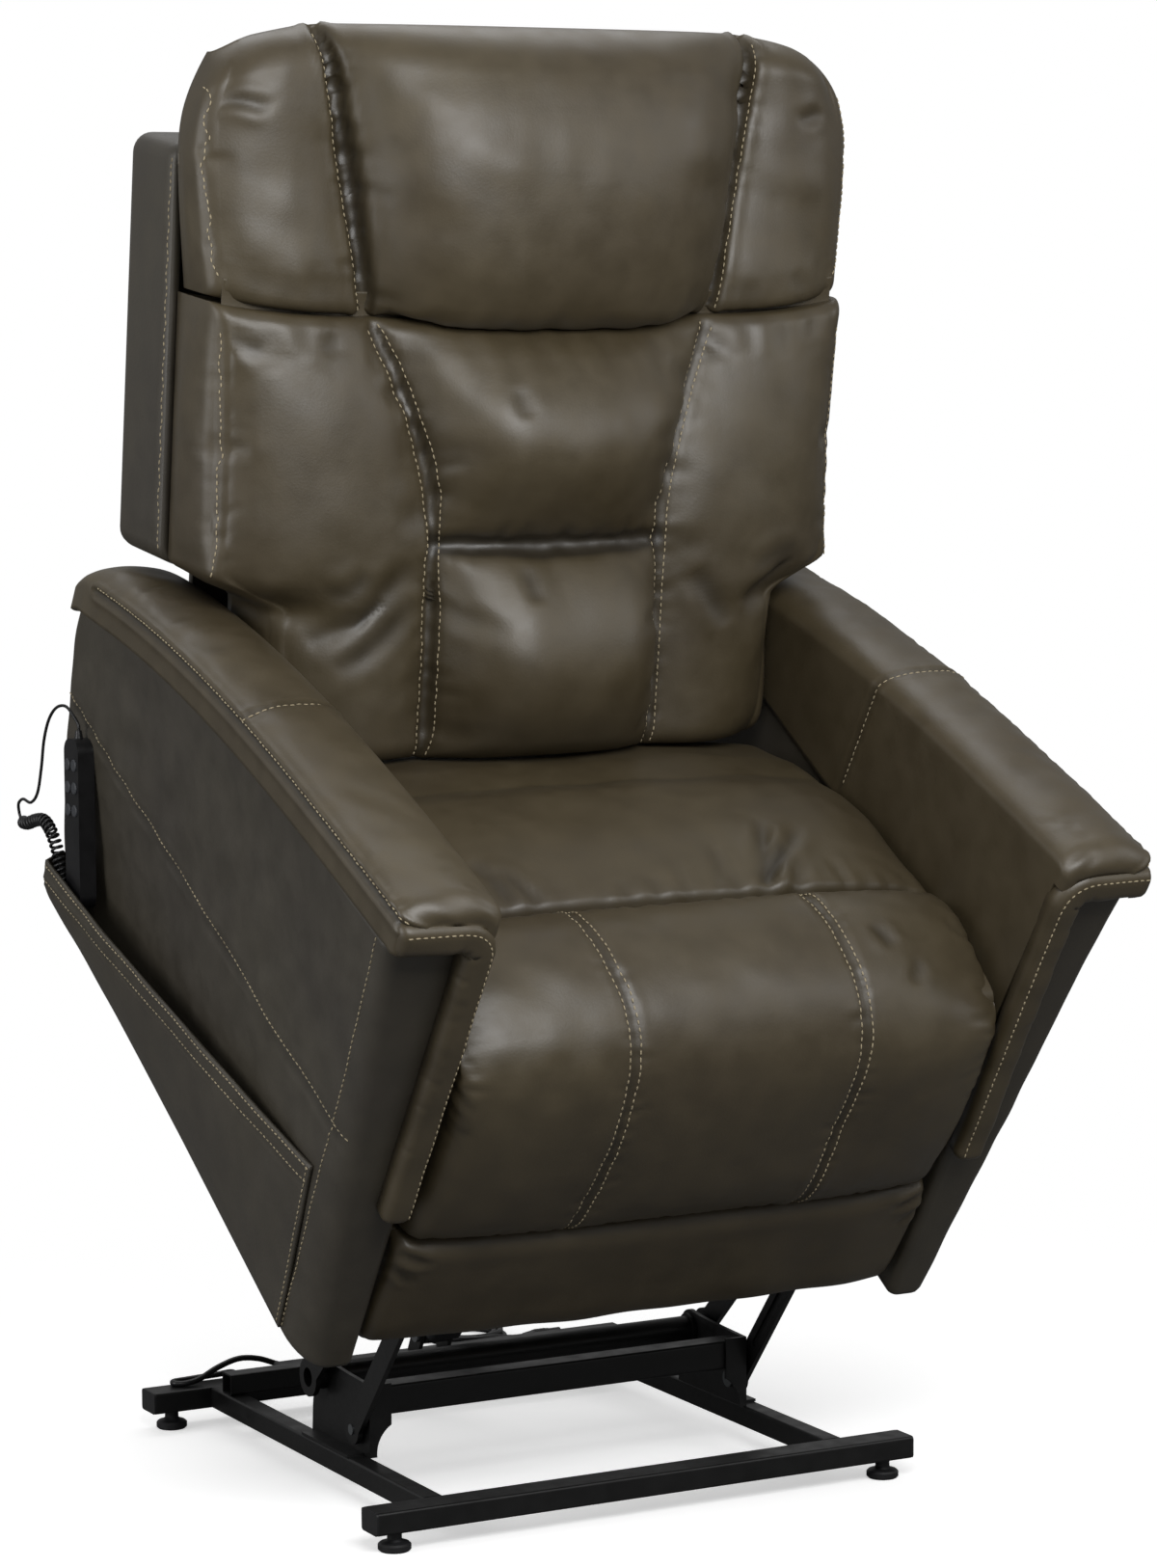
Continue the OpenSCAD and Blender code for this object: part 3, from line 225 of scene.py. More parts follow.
@dataclass(frozen=True)
class Finish:
    """A surface: what it is, its colours, and the node tree that shows it."""

    name: str
    colour: str
    second: str
    roughness: float

    def start(self) -> tuple[bpy.types.Material, bpy.types.NodeTree, bpy.types.Node, bpy.types.NodeSocket]:
        """Makes the empty material with its shader and the object's coordinates."""
        material = bpy.data.materials.new(self.name)
        material.use_nodes = True
        tree = material.node_tree
        tree.nodes.clear()
        shader = add(tree, "ShaderNodeBsdfPrincipled", {"Roughness": self.roughness})
        add(tree, "ShaderNodeOutputMaterial", {}, {"Surface": shader.outputs[0]})
        return material, tree, shader, add(tree, "ShaderNodeTexCoord").outputs["Object"]

    def noise(self, tree: bpy.types.NodeTree, where: bpy.types.NodeSocket, size_mm: float,
              detail: float = 3.0) -> bpy.types.NodeSocket:
        """Noise whose lumps are about size_mm across."""
        return add(tree, "ShaderNodeTexNoise", {"Scale": 1000.0 / size_mm, "Detail": detail},
                   {"Vector": where}).outputs["Fac"]

    def ranged(self, tree: bpy.types.NodeTree, value: bpy.types.NodeSocket, low: float,
               high: float) -> bpy.types.NodeSocket:
        """Stretches the middle of a noise over a range."""
        return add(tree, "ShaderNodeMapRange", {"From Min": 0.3, "From Max": 0.7, "To Min": low, "To Max": high},
                   {"Value": value}).outputs["Result"]

    def tint(self, tree: bpy.types.NodeTree, fac: bpy.types.NodeSocket, a: str | bpy.types.NodeSocket,
             b: str | bpy.types.NodeSocket) -> bpy.types.NodeSocket:
        """Mixes two colours, each a hex string or a socket."""
        node = add(tree, "ShaderNodeMix", {"data_type": "RGBA"}, {0: fac})
        for slot, value in ((6, a), (7, b)):
            if isinstance(value, str):
                node.inputs[slot].default_value = linear(value)
            else:
                feed(node, {slot: value})
        return node.outputs[2]

    def bumped(self, tree: bpy.types.NodeTree, height: bpy.types.NodeSocket, strength: float, depth_mm: float,
               under: bpy.types.NodeSocket | None = None) -> bpy.types.NodeSocket:
        """Adds a height to the shading normal, over another bump if one is given."""
        node = add(tree, "ShaderNodeBump", {"Strength": strength, "Distance": depth_mm / 1000.0}, {"Height": height})
        if under is not None:
            feed(node, {"Normal": under})
        return node.outputs["Normal"]


@dataclass(frozen=True)
class Leather(Finish):
    """Corrected-grain leather: a thin satin coat over a pebble, with painted shade darkening its creases and seams."""

    grain_mm: float = 2.6        # the real pebble is near 1.2 mm, drawn coarser so that it shows
    # painted shade: the near-black brown that the colour in creases and seams is darkened towards
    painted_crease_shade: str = "#16120b"

    def make(self) -> bpy.types.Material:
        """Builds the material."""
        material, tree, shader, where = self.start()
        broad = self.noise(tree, where, 210.0, 4.0)
        mottle = self.noise(tree, where, 34.0, 5.0)
        skin = self.tint(tree, self.ranged(tree, broad, 0.0, 1.0), self.colour, self.second)
        cloud = add(tree, "ShaderNodeHueSaturation", {}, {
            "Color": skin, "Value": self.ranged(tree, mottle, 0.9, 1.1)}).outputs["Color"]
        # painted shade: this attribute darkens the colour in each crease's valley, as if shaded
        painted_fold_shade = add(tree, "ShaderNodeAttribute", {"attribute_name": "painted_fold_shade"}).outputs["Fac"]
        crease_shade_share = add(tree, "ShaderNodeMapRange", {"From Min": 0.0, "From Max": -1.0, "To Min": 0.0, "To Max": 0.75},
                   {"Value": painted_fold_shade}).outputs["Result"]
        feed(shader, {"Base Color": self.tint(tree, crease_shade_share, cloud, self.painted_crease_shade),
                      "Roughness": self.ranged(tree, mottle, self.roughness - 0.05, self.roughness + 0.06)})
        pebble = add(tree, "ShaderNodeTexVoronoi", {"feature": "SMOOTH_F1", "Scale": 1000.0 / self.grain_mm,
                                                    "Smoothness": 0.6}, {"Vector": where}).outputs["Distance"]
        soft = self.bumped(tree, self.noise(tree, where, 80.0, 2.0), 0.1, 5.0)
        crinkle = self.bumped(tree, self.noise(tree, where, 9.0, 5.0), 0.2, 0.55, soft)
        feed(shader, {"Normal": self.bumped(tree, pebble, 0.3, 0.22, crinkle)})
        shader.inputs["Specular IOR Level"].default_value = 0.66
        shader.inputs["Coat Weight"].default_value = 0.06
        shader.inputs["Coat Roughness"].default_value = 0.36
        return material


@dataclass(frozen=True)
class Painted(Finish):
    """Powder-coated or moulded surface: one colour with a fine orange-peel and a slight sheen."""

    texture_mm: float = 1.6
    metallic: float = 0.0
    depth_mm: float = 0.1

    def make(self) -> bpy.types.Material:
        """Builds the material."""
        material, tree, shader, where = self.start()
        patch = self.noise(tree, where, 70.0, 4.0)
        worn = self.noise(tree, where, 18.0, 4.0)
        peel = self.noise(tree, where, self.texture_mm, 2.0)
        feed(shader, {"Base Color": self.tint(tree, self.ranged(tree, patch, 0.0, 1.0), self.colour, self.second),
                      "Roughness": self.ranged(tree, worn, self.roughness - 0.06, self.roughness + 0.08),
                      "Normal": self.bumped(tree, peel, 0.3, self.depth_mm)})
        shader.inputs["Metallic"].default_value = self.metallic
        return material


@dataclass(frozen=True)
class Wood(Finish):
    """Birch plywood: long pale grain with darker growth bands."""

    def make(self) -> bpy.types.Material:
        """Builds the material."""
        material, tree, shader, where = self.start()
        along = add(tree, "ShaderNodeMapping", {"Scale": (0.12, 1.0, 1.0)}, {"Vector": where}).outputs[0]
        wave = add(tree, "ShaderNodeTexWave", {"Scale": 60.0, "Distortion": 5.0, "Detail": 3.0},
                   {"Vector": along}).outputs["Fac"]
        feed(shader, {"Base Color": self.tint(tree, wave, self.colour, self.second),
                      "Normal": self.bumped(tree, wave, 0.2, 0.2)})
        return material


@dataclass(frozen=True)
class Twist(Finish):
    """Polyester topstitch thread: matt, with the lay of its plies."""

    def make(self) -> bpy.types.Material:
        """Builds the material."""
        material, tree, shader, where = self.start()
        ply = add(tree, "ShaderNodeTexWave", {"Scale": 260.0, "Distortion": 1.5}, {"Vector": where}).outputs["Fac"]
        feed(shader, {"Base Color": self.tint(tree, ply, self.colour, self.second),
                      "Normal": self.bumped(tree, ply, 0.4, 0.2)})
        return material


class Slot(Enum):
    """The record's material slots."""

    PAINT = "frame_paint"
    CAP = "cap_plastic"
    ZINC = "zinc_steel"
    MOTOR = "motor_housing"
    CHROME = "rod_chrome"
    TIMBER = "timber"
    SKIN = "leather_skin"
    PADDED = "leather_over_foam"
    HANDSET = "handset_plastic"
    BUTTON = "button_plastic"
    LEAD = "lead_jacket"


@dataclass
class Wardrobe:
    """Every finish, made once."""

    leather: Leather = Leather("satin_leather", "#403726", "#483f2c", 0.47)
    # painted shade: the panels' leather is drawn darker and greyer than the cushions' for the cooler, dimmer light on
    # the sides and rear
    shaded_side_leather: Leather = Leather("satin_leather_panels_painted_shade", "#37322a", "#3f3a2f", 0.5)
    thread: Twist = Twist("topstitch_thread", "#b5a88b", "#8f8269", 0.75)
    paint: Painted = Painted("satin_powder_coat", "#070707", "#0c0c0c", 0.4, 1.6)
    cap: Painted = Painted("moulded_black_plastic", "#101011", "#17171a", 0.5, 0.9)
    motor: Painted = Painted("textured_motor_plastic", "#17181a", "#1f2023", 0.6, 1.1, 0.0, 0.2)
    zinc: Painted = Painted("bright_zinc_steel", "#9ea2a4", "#868a8c", 0.34, 2.2, 1.0)
    chrome: Painted = Painted("ground_chrome_rod", "#c4c6c8", "#b2b4b6", 0.14, 1.0, 1.0, 0.02)
    timber: Wood = Wood("birch_plywood", "#c9a877", "#b18c5b", 0.62)
    handset: Painted = Painted("satin_handset_plastic", "#0e0e10", "#151517", 0.36, 0.8, 0.0, 0.06)
    button: Painted = Painted("soft_button_plastic", "#34363a", "#3b3d41", 0.55, 0.7, 0.0, 0.06)
    jacket: Painted = Painted("pvc_cable_jacket", "#0d0d0e", "#151516", 0.38, 3.0, 0.0, 0.06)
    made: dict[str, bpy.types.Material] = field(default_factory=dict)

    def get(self, name: str) -> bpy.types.Material:
        """The material of one finish, made on first use."""
        if name not in self.made:
            self.made[name] = getattr(self, name).make()
        return self.made[name]


# ---------- mesh building ----------

@dataclass(frozen=True)
class Fold:
    """A line pressed into leather, a valley with low shoulders and painted shade in it; a negative depth makes a ridge,
    without shade.
    """

    line: tuple
    depth: float
    width: float
    shoulder: float = 0.3
    fade: float = 0.3            # share of its length over which each end fades out
    # painted shade: how far the valley's colour is darkened
    painted_shade: float = 0.6


def gathers(line: Array, spacing: float, reach: float, depth: float, seed: int,
            sides: tuple = (-1, 1), width: float = 3.4) -> list[Fold]:
    """Short puckers that run out from a seam.

    Args:
        line: the seam, in flat coordinates.
        spacing: mean distance between puckers.
        reach: mean length of a pucker.
        depth: how deep the deepest ones are.
        seed: picks the pattern.
        sides: which sides of the seam have them.
        width: how wide one is.

    Returns:
        The folds.
    """
    rng = np.random.default_rng(SEED + seed)
    flat = spread(softened(line), max(4, int(length_of(line) / 5.0)))
    way = unit(np.gradient(flat, axis=0))
    step, folds, at = length_of(flat) / (len(flat) - 1), [], rng.uniform(0.2, 1.0) * spacing
    while at < length_of(flat):
        k = min(int(at / step), len(flat) - 1)
        out = np.array([-way[k, 1], way[k, 0]]) * rng.choice(sides) + way[k] * rng.uniform(-0.6, 0.6)
        out /= np.linalg.norm(out)
        far = flat[k] + out * reach * rng.uniform(0.45, 1.4)
        # each pucker also gets a little painted shade in its valley (0.3)
        folds.append(Fold((tuple(flat[k] - out * reach * 0.15), tuple(far)), depth * rng.uniform(0.25, 0.62),
                          width * rng.uniform(1.0, 1.7), 0.35, 0.5, 0.3))
        at += spacing * rng.uniform(0.5, 1.6)
    return folds


class Ends(Enum):
    """How the first and last ring of a form are closed."""

    RUNGS = "rungs"
    FAN = "fan"
    LOOP = "loop"


class Form:
    """A padded or sheet form: closed rings of points in a drawing, worked over and then made a mesh."""

    def __init__(self, name: str, rings: Array, flat: Array, ends: Ends = Ends.RUNGS) -> None:
        """Takes the rings, and the place of each point on the flat leather, both in millimetres."""
        self.name, self.rings, self.flat, self.ends = name, np.asarray(rings, float), np.asarray(flat, float), ends
        # painted shade of each point, filled in by press
        self.painted_fold_shade = np.zeros(self.rings.shape[:2])
        self.object: bpy.types.Object | None = None
        self.tree: BVHTree | None = None
        self.points = np.zeros((0, 3))

    @property
    def face(self) -> Array:
        """1.0 at the points of the show face, 0.0 at those of the underside."""
        return (self.flat[..., 0] < FAR / 2).astype(float)

    def normals(self) -> Array:
        """Outward unit normals of the grid."""
        across = np.roll(self.rings, -1, 1) - np.roll(self.rings, 1, 1)
        along = np.gradient(self.rings, axis=0)
        n = unit(np.cross(across, along))
        out = self.rings - self.rings.mean(1, keepdims=True)
        return n if (n * out).sum(-1).mean() > 0 else -n

    def press(self, folds: list[Fold], where: Array | float = 1.0) -> None:
        """Presses folds into the form, and paints shade into their valleys.

        Args:
            folds: the lines, in flat coordinates.
            where: share of each fold that each point takes.
        """
        lift = np.zeros(self.rings.shape[:2])
        for f in folds:
            gap, t = distance_to(self.flat, softened(f.line))
            ends = np.sqrt(clamp(t / max(f.fade, 1e-3)) * clamp((1 - t) / max(f.fade, 1e-3))) if f.fade else 1.0
            well = np.exp(-(gap / f.width) ** 2)
            rim = np.exp(-((gap - 2.0 * f.width) / (0.9 * f.width)) ** 2) * f.shoulder
            lift += f.depth * ends * (rim - well) * where
            if f.depth > 0:
                # painted shade: a valley's colour is darkened, more where it is deeper
                self.painted_fold_shade -= f.painted_shade * well * ends * where * min(1.0, f.depth / 4.0)
        self.rings = self.rings + self.normals() * lift[..., None]

    def swell(self, lift: Array) -> None:
        """Moves each point along its normal by a height in millimetres."""
        self.rings = self.rings + self.normals() * np.asarray(lift)[..., None]

    def inflate(self, seams: list, cap: float, pressure: float = 4.0) -> None:
        """Lets the cover swell between its seams: a short cloth simulation on a coarser grid.

        Args:
            seams: lines on the flat leather where it is held down.
            cap: the furthest that any point may move, in millimetres.
            pressure: of the filling.
        """
        m, n = self.rings.shape[:2]
        rows = np.unique(np.linspace(0, m - 1, max(12, m // 3)).round().astype(int))
        half = np.unique(np.linspace(0, n // 2 - 1, max(16, n // 6)).round().astype(int))
        cols = np.concatenate([half, n - 1 - half[::-1]])
        at = np.ix_(rows, cols)
        held = self.flat[at][..., 0] > FAR / 2
        for line in seams:
            held |= distance_to(self.flat[at], softened(line))[0] < SIM_HOLD
        held[[0, -1]] = True
        shift = Form(self.name + "_sim", self.rings[at], self.flat[at]).simulated(held, pressure)
        r, c = (np.interp(np.arange(k), some, np.arange(len(some))) for k, some in ((m, rows), (n, cols)))
        i, j = np.minimum(r.astype(int), len(rows) - 2), np.minimum(c.astype(int), len(cols) - 2)
        fr, fc = (r - i)[:, None, None], (c - j)[None, :, None]
        full = ((shift[i][:, j] * (1 - fr) + shift[i + 1][:, j] * fr) * (1 - fc)
                + (shift[i][:, j + 1] * (1 - fr) + shift[i + 1][:, j + 1] * fr) * fc)
        size = np.linalg.norm(full, axis=-1, keepdims=True)
        full *= cap * np.tanh(size / cap) / np.maximum(size, 1e-9)
        self.rings = self.rings + full * self.face[..., None]
        far = float(size.max())
        if not SIM_WORKED[0] < far < SIM_WORKED[1]:
            LOG.warning("%s: the cloth step did not work, it moved %.3f mm", self.name, far)
        LOG.info("%s: cover moved %.1f mm before the cap of %.0f mm", self.name, far, cap)

    def simulated(self, held: Array, pressure: float) -> Array:
        """Runs the cloth step on this grid.

        Args:
            held: true at the points that stay.
            pressure: of the filling.

        Returns:
            How far each point moves, in millimetres.
        """
        obj = self.build(lambda p: np.asarray(p) / 1000.0, bpy.data.materials.new("sim"))
        # coincident points make edges without length, on which the solver stops and moves nothing
        weld(obj.data, SIM_POINT)
        start = np.array([v.co[:] for v in obj.data.vertices])
        tree = KDTree(len(start))
        for k, co in enumerate(start):
            tree.insert(co, k)
        tree.balance()
        same = np.array([tree.find(q)[1] for q in self.rings.reshape(-1, 3) / 1000.0])
        pinned = np.unique(same[held.ravel()])
        obj.vertex_groups.new(name="held").add(pinned.tolist(), 1.0, "REPLACE")
        cloth = obj.modifiers.new("cloth", "CLOTH")
        sim = cloth.settings
        sim.quality, sim.mass, sim.air_damping = 6, 0.3, 4.0
        sim.tension_stiffness = sim.compression_stiffness = 14.0
        sim.shear_stiffness, sim.bending_stiffness = 6.0, 1.5
        sim.use_pressure, sim.uniform_pressure_force, sim.vertex_group_mass = True, pressure, "held"
        sim.effector_weights.gravity = 0.0
        cloth.collision_settings.use_collision = False
        cloth.point_cache.frame_start, cloth.point_cache.frame_end = 1, SIM_FRAMES
        for step in range(1, SIM_FRAMES + 1):
            bpy.context.scene.frame_set(step)
        moved = obj.evaluated_get(bpy.context.evaluated_depsgraph_get()).data
        co = np.zeros(len(moved.vertices) * 3)
        moved.vertices.foreach_get("co", co)
        shift = ((co.reshape(-1, 3) - start)[same] * 1000.0).reshape(*held.shape, 3)
        shift[held] = 0.0
        bpy.data.objects.remove(obj)
        bpy.context.scene.frame_set(1)
        return shift

    def build(self, place: Callable[[Array], Array], material: bpy.types.Material) -> bpy.types.Object:
        """Makes the mesh.

        Args:
            place: function from the drawing to the shared frame.
            material: its finish.

        Returns:
            The object, at the origin.
        """
        m, n = self.rings.shape[:2]
        points = place(self.rings.reshape(-1, 3))
        j = np.arange(n)
        walls = [np.stack([i * n + j, i * n + (j + 1) % n, (i + 1) * n + (j + 1) % n, (i + 1) * n + j], 1)
                 for i in range(m - 1)]
        faces = np.concatenate(walls).tolist()
        # painted shade of each point, none at a fan's middle
        folds = list(self.painted_fold_shade.ravel())
        for base, flip in ((0, False), ((m - 1) * n, True)):
            if self.ends is Ends.LOOP:
                if not flip:
                    faces += np.stack([(m - 1) * n + j, (m - 1) * n + (j + 1) % n, (j + 1) % n, j], 1).tolist()
                continue
            if self.ends is Ends.RUNGS:
                caps = [(base + k, base + n - 1 - k, base + n - 2 - k, base + k + 1) for k in range(n // 2 - 1)]
            else:
                middle = len(points)
                points = np.concatenate([points, points[base:base + n].mean(0, keepdims=True)])
                folds.append(0.0)
                caps = [(base + (k + 1) % n, base + k, middle) for k in range(n)]
            faces += [c[::-1] if flip else c for c in caps]
        mesh = bpy.data.meshes.new(self.name)
        mesh.from_pydata(points.tolist(), [], faces)
        mesh.update()
        if signed_volume(mesh) < 0:
            mesh.flip_normals()
        mesh.shade_smooth()
        # painted shade stored as a point attribute, which the leather reads
        mesh.attributes.new("painted_fold_shade", "FLOAT", "POINT").data.foreach_set("value", np.array(folds, np.float32))
        weld(mesh, SAME_POINT)
        self.object, self.points = link(self.name, mesh, material), points[:m * n]
        self.tree = BVHTree.FromPolygons([v.co for v in mesh.vertices], [p.vertices for p in mesh.polygons])
        LOG.info("%s: %d faces", self.name, len(mesh.polygons))
        return self.object

    def spots(self, line: Array) -> Array:
        """Places on the built form, in metres, of points on its flat leather."""
        gap = np.linalg.norm(np.asarray(line)[:, None] - self.flat.reshape(1, -1, 2), axis=-1)
        pick = np.argpartition(gap, 4, axis=1)[:, :4]
        share = 1.0 / (np.take_along_axis(gap, pick, 1) + 0.05) ** 2
        share /= share.sum(1, keepdims=True)
        return (self.points[pick] * share[..., None]).sum(1)


def weld(mesh: bpy.types.Mesh, near: float) -> None:
    """Joins points that lie on each other, so that no face is left without area.

    Args:
        mesh: a closed mesh, changed in place.
        near: how close two points are to be one, in metres.
    """
    bm = bmesh.new()
    bm.from_mesh(mesh)
    bmesh.ops.remove_doubles(bm, verts=bm.verts[:], dist=near)
    bmesh.ops.dissolve_degenerate(bm, dist=1e-6, edges=bm.edges[:])
    bm.to_mesh(mesh)
    bm.free()


def signed_volume(mesh: bpy.types.Mesh) -> float:
    """Volume inside a closed mesh, negative if its faces point inwards."""
    mesh.calc_loop_triangles()
    co = np.zeros(len(mesh.vertices) * 3)
    mesh.vertices.foreach_get("co", co)
    tri = np.zeros(len(mesh.loop_triangles) * 3, np.int32)
    mesh.loop_triangles.foreach_get("vertices", tri)
    a, b, c = (co.reshape(-1, 3)[tri.reshape(-1, 3)[:, k]] for k in range(3))
    return float(np.einsum("ij,ij->i", a, np.cross(b, c)).sum() / 6.0)


def link(name: str, data: bpy.types.ID, material: bpy.types.Material | None = None) -> bpy.types.Object:
    """Puts data into the scene as an object, with one finish if it is given."""
    obj = bpy.data.objects.new(name, data)
    bpy.context.scene.collection.objects.link(obj)
    if material is not None:
        data.materials.append(material)
    return obj


class Layup:
    """The rings of a cover as they are laid, each a show chain and a hidden chain joined at both ends."""

    def __init__(self) -> None:
        """Starts with no rings."""
        self.rings: list[Array] = []
        self.flats: list[Array] = []

    def lay(self, show: Array, hidden: Array, flat: Array) -> None:
        """Adds a ring.

        Args:
            show: the chain that is seen.
            hidden: the chain behind it, of the same length.
            flat: the place of each point of the show chain on the flat leather.
        """
        self.rings.append(np.concatenate([show, hidden[::-1]]))
        self.flats.append(np.concatenate([flat, np.full((len(show), 2), FAR)]))

    def form(self, name: str) -> Form:
        """The form that the rings make."""
        return Form(name, np.array(self.rings), np.array(self.flats))


def edge_round(gap: Array, r: float) -> Array:
    """How far an edge of radius r falls back at a distance from its end."""
    q = clamp((r - gap) / r)
    return r * (1 - np.sqrt(np.maximum(0.0, 1 - q * q)))


# ---------- thread ----------

class Thread:
    """Rows of topstitching, gathered by the body that they move with."""

    def __init__(self, material: bpy.types.Material) -> None:
        """Starts with no rows."""
        self.material = material
        self.rows: dict[str, list[tuple[Array, Array]]] = {}
        self.tree = self.stitch_tree()

    def sew(self, group: str, form: Form, line: Array, offset: float = 0.0) -> None:
        """Lays a row on a form.

        Args:
            group: the group of rows that it belongs to.
            form: the built form.
            line: points on the form's flat leather, in millimetres.
            offset: millimetres to one side of the line.
        """
        flat = spread(line, max(3, int(length_of(line) / 4.0)))
        way = unit(np.gradient(flat, axis=0))
        spots, ups = self.snapped(form, form.spots(flat + offset * np.stack([-way[:, 1], way[:, 0]], -1)))
        self.rows.setdefault(group, []).append((spots + ups * THREAD_RISE, ups))

    def twin(self, group: str, form: Form, line: Array, apart: float = 10.0) -> None:
        """Lays a row to each side of a seam."""
        for side in (-0.5, 0.5):
            self.sew(group, form, line, side * apart)

    def snapped(self, form: Form, path: Array) -> tuple[Array, Array]:
        """A path evened out and laid on a form, and the form's normals along it."""
        for _ in range(3):
            path[1:-1] = (path[:-2] + 2 * path[1:-1] + path[2:]) / 4
        found = [form.tree.find_nearest(Vector(p)) for p in path]
        spots, ups = np.array([f[0] for f in found]), np.array([f[1] for f in found])
        for _ in range(3):
            ups[1:-1] = (ups[:-2] + 2 * ups[1:-1] + ups[2:]) / 4
        return spots, unit(ups)

    def stitch_tree(self) -> bpy.types.NodeTree:
        """Geometry nodes that lay one stitch after another along every row of points."""
        tree = bpy.data.node_groups.new("stitch_rows", "GeometryNodeTree")
        face = tree.interface
        face.new_socket("Rows", in_out="INPUT", socket_type="NodeSocketGeometry")
        for name, value in STITCH.items():
            face.new_socket(name, in_out="INPUT", socket_type="NodeSocketFloat").default_value = value
        face.new_socket("Seed", in_out="INPUT", socket_type="NodeSocketInt").default_value = SEED
        face.new_socket("Stitches", in_out="OUTPUT", socket_type="NodeSocketGeometry")
        start = add(tree, "NodeGroupInput")
        line = add(tree, "GeometryNodeMeshToCurve", {}, {"Mesh": start.outputs["Rows"]})
        even = add(tree, "GeometryNodeResampleCurve", {"mode": "LENGTH"},
                   {"Curve": line.outputs[0], "Length": start.outputs["Pitch"]})
        grain = add(tree, "GeometryNodeMeshUVSphere", {"Segments": 6, "Rings": 4, "Radius": 0.5})
        up = add(tree, "GeometryNodeInputNamedAttribute", {"data_type": "FLOAT_VECTOR", "Name": "outward"})
        way = add(tree, "GeometryNodeInputTangent")
        first = add(tree, "FunctionNodeAlignRotationToVector", {"axis": "X"}, {"Vector": way.outputs[0]})
        turned = add(tree, "FunctionNodeAlignRotationToVector", {"axis": "Z", "pivot_axis": "X"},
                     {"Rotation": first.outputs[0], "Vector": up.outputs[0]})
        jitter = add(tree, "FunctionNodeRandomValue", {"data_type": "FLOAT", 2: 0.86, 3: 1.1},
                     {"Seed": start.outputs["Seed"]})
        long = add(tree, "ShaderNodeMath", {"operation": "MULTIPLY"},
                   {0: start.outputs["Stitch length"], 1: jitter.outputs[1]})
        low = add(tree, "ShaderNodeMath", {"operation": "MULTIPLY", 1: 0.8}, {0: start.outputs["Thread width"]})
        size = add(tree, "ShaderNodeCombineXYZ", {}, {"X": long.outputs[0], "Y": start.outputs["Thread width"],
                                                      "Z": low.outputs[0]})
        laid = add(tree, "GeometryNodeInstanceOnPoints", {}, {
            "Points": even.outputs[0], "Instance": grain.outputs["Mesh"], "Rotation": turned.outputs[0],
            "Scale": size.outputs[0]})
        real = add(tree, "GeometryNodeRealizeInstances", {}, {0: laid.outputs[0]})
        dyed = add(tree, "GeometryNodeSetMaterial", {"Material": self.material}, {0: real.outputs[0]})
        add(tree, "NodeGroupOutput", {}, {0: dyed.outputs[0]})
        return tree

    def finish(self, group: str) -> bpy.types.Object:
        """Turns one group's rows into a plain mesh of stitches."""
        name = group + "_topstitching"
        points, ups, edges = [], [], []
        for spots, normals in self.rows[group]:
            base = len(points)
            points += spots.tolist()
            ups += normals.tolist()
            edges += [(base + i, base + i + 1) for i in range(len(spots) - 1)]
        mesh = bpy.data.meshes.new(name + "_rows")
        mesh.from_pydata(points, edges, [])
        mesh.attributes.new("outward", "FLOAT_VECTOR", "POINT").data.foreach_set(
            "vector", np.array(ups, np.float32).ravel())
        rows = link(name + "_rows", mesh)
        sewing = rows.modifiers.new("stitches", "NODES")
        sewing.node_group = self.tree
        sizes = {**STITCH, "Seed": SEED}
        for item in self.tree.interface.items_tree:
            if item.in_out == "INPUT" and item.name in sizes:
                sewing[item.identifier] = sizes[item.name]
        graph = bpy.context.evaluated_depsgraph_get()
        done = bpy.data.meshes.new_from_object(rows.evaluated_get(graph), depsgraph=graph)
        done.name = name
        bpy.data.objects.remove(rows)
        done.shade_smooth()
        if not done.materials:
            done.materials.append(self.material)
        return link(name, done)


# ---------- the upholsterer's bench ----------

class Shop:
    """What every sub-assembly works with: finishes, thread, and how a piece joins the frame."""

    def __init__(self) -> None:
        """Makes the finishes and the thread."""
        self.wardrobe = Wardrobe()
        self.thread = Thread(self.wardrobe.get("thread"))

    def hang(self, obj: bpy.types.Object, body: str, slot: Slot, *nodes: str) -> None:
        """Joins a finished piece to a body, in place of the CAD nodes that it stands for."""
        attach(obj, body)
        if nodes:
            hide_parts(*nodes)
        LOG.info("%s rides %s", obj.name, body)

    def pad(self, form: Form, place: Callable[[Array], Array], body: str, *nodes: str) -> None:
        """Makes a padded cover in the soft leather and joins it to a body."""
        self.hang(form.build(place, self.wardrobe.get("leather")), body, Slot.PADDED, *nodes)

    def panel(self, form: Form, place: Callable[[Array], Array], body: str, *nodes: str) -> None:
        """Makes a sewn panel in the flatter leather, drawn darker and greyer as painted shade, and joins it to a body.
        """
        self.hang(form.build(place, self.wardrobe.get("shaded_side_leather")), body, Slot.SKIN, *nodes)


def foot_bend(obj: bpy.types.Object) -> None:
    """Bakes a piece's placement into its mesh, for a piece that crosses the footrest's hinge."""
    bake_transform(obj)


def head_bend(obj: bpy.types.Object) -> None:
    """Bakes a piece's placement into its mesh, for a piece of the headrest or its join to the back cushion."""
    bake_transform(obj)


def mirrored(points: Array, side: int) -> Array:
    """Swaps a drawing's sides where side is -1."""
    return np.asarray(points, float) * [side, 1.0, 1.0]


# ---------- arms ----------

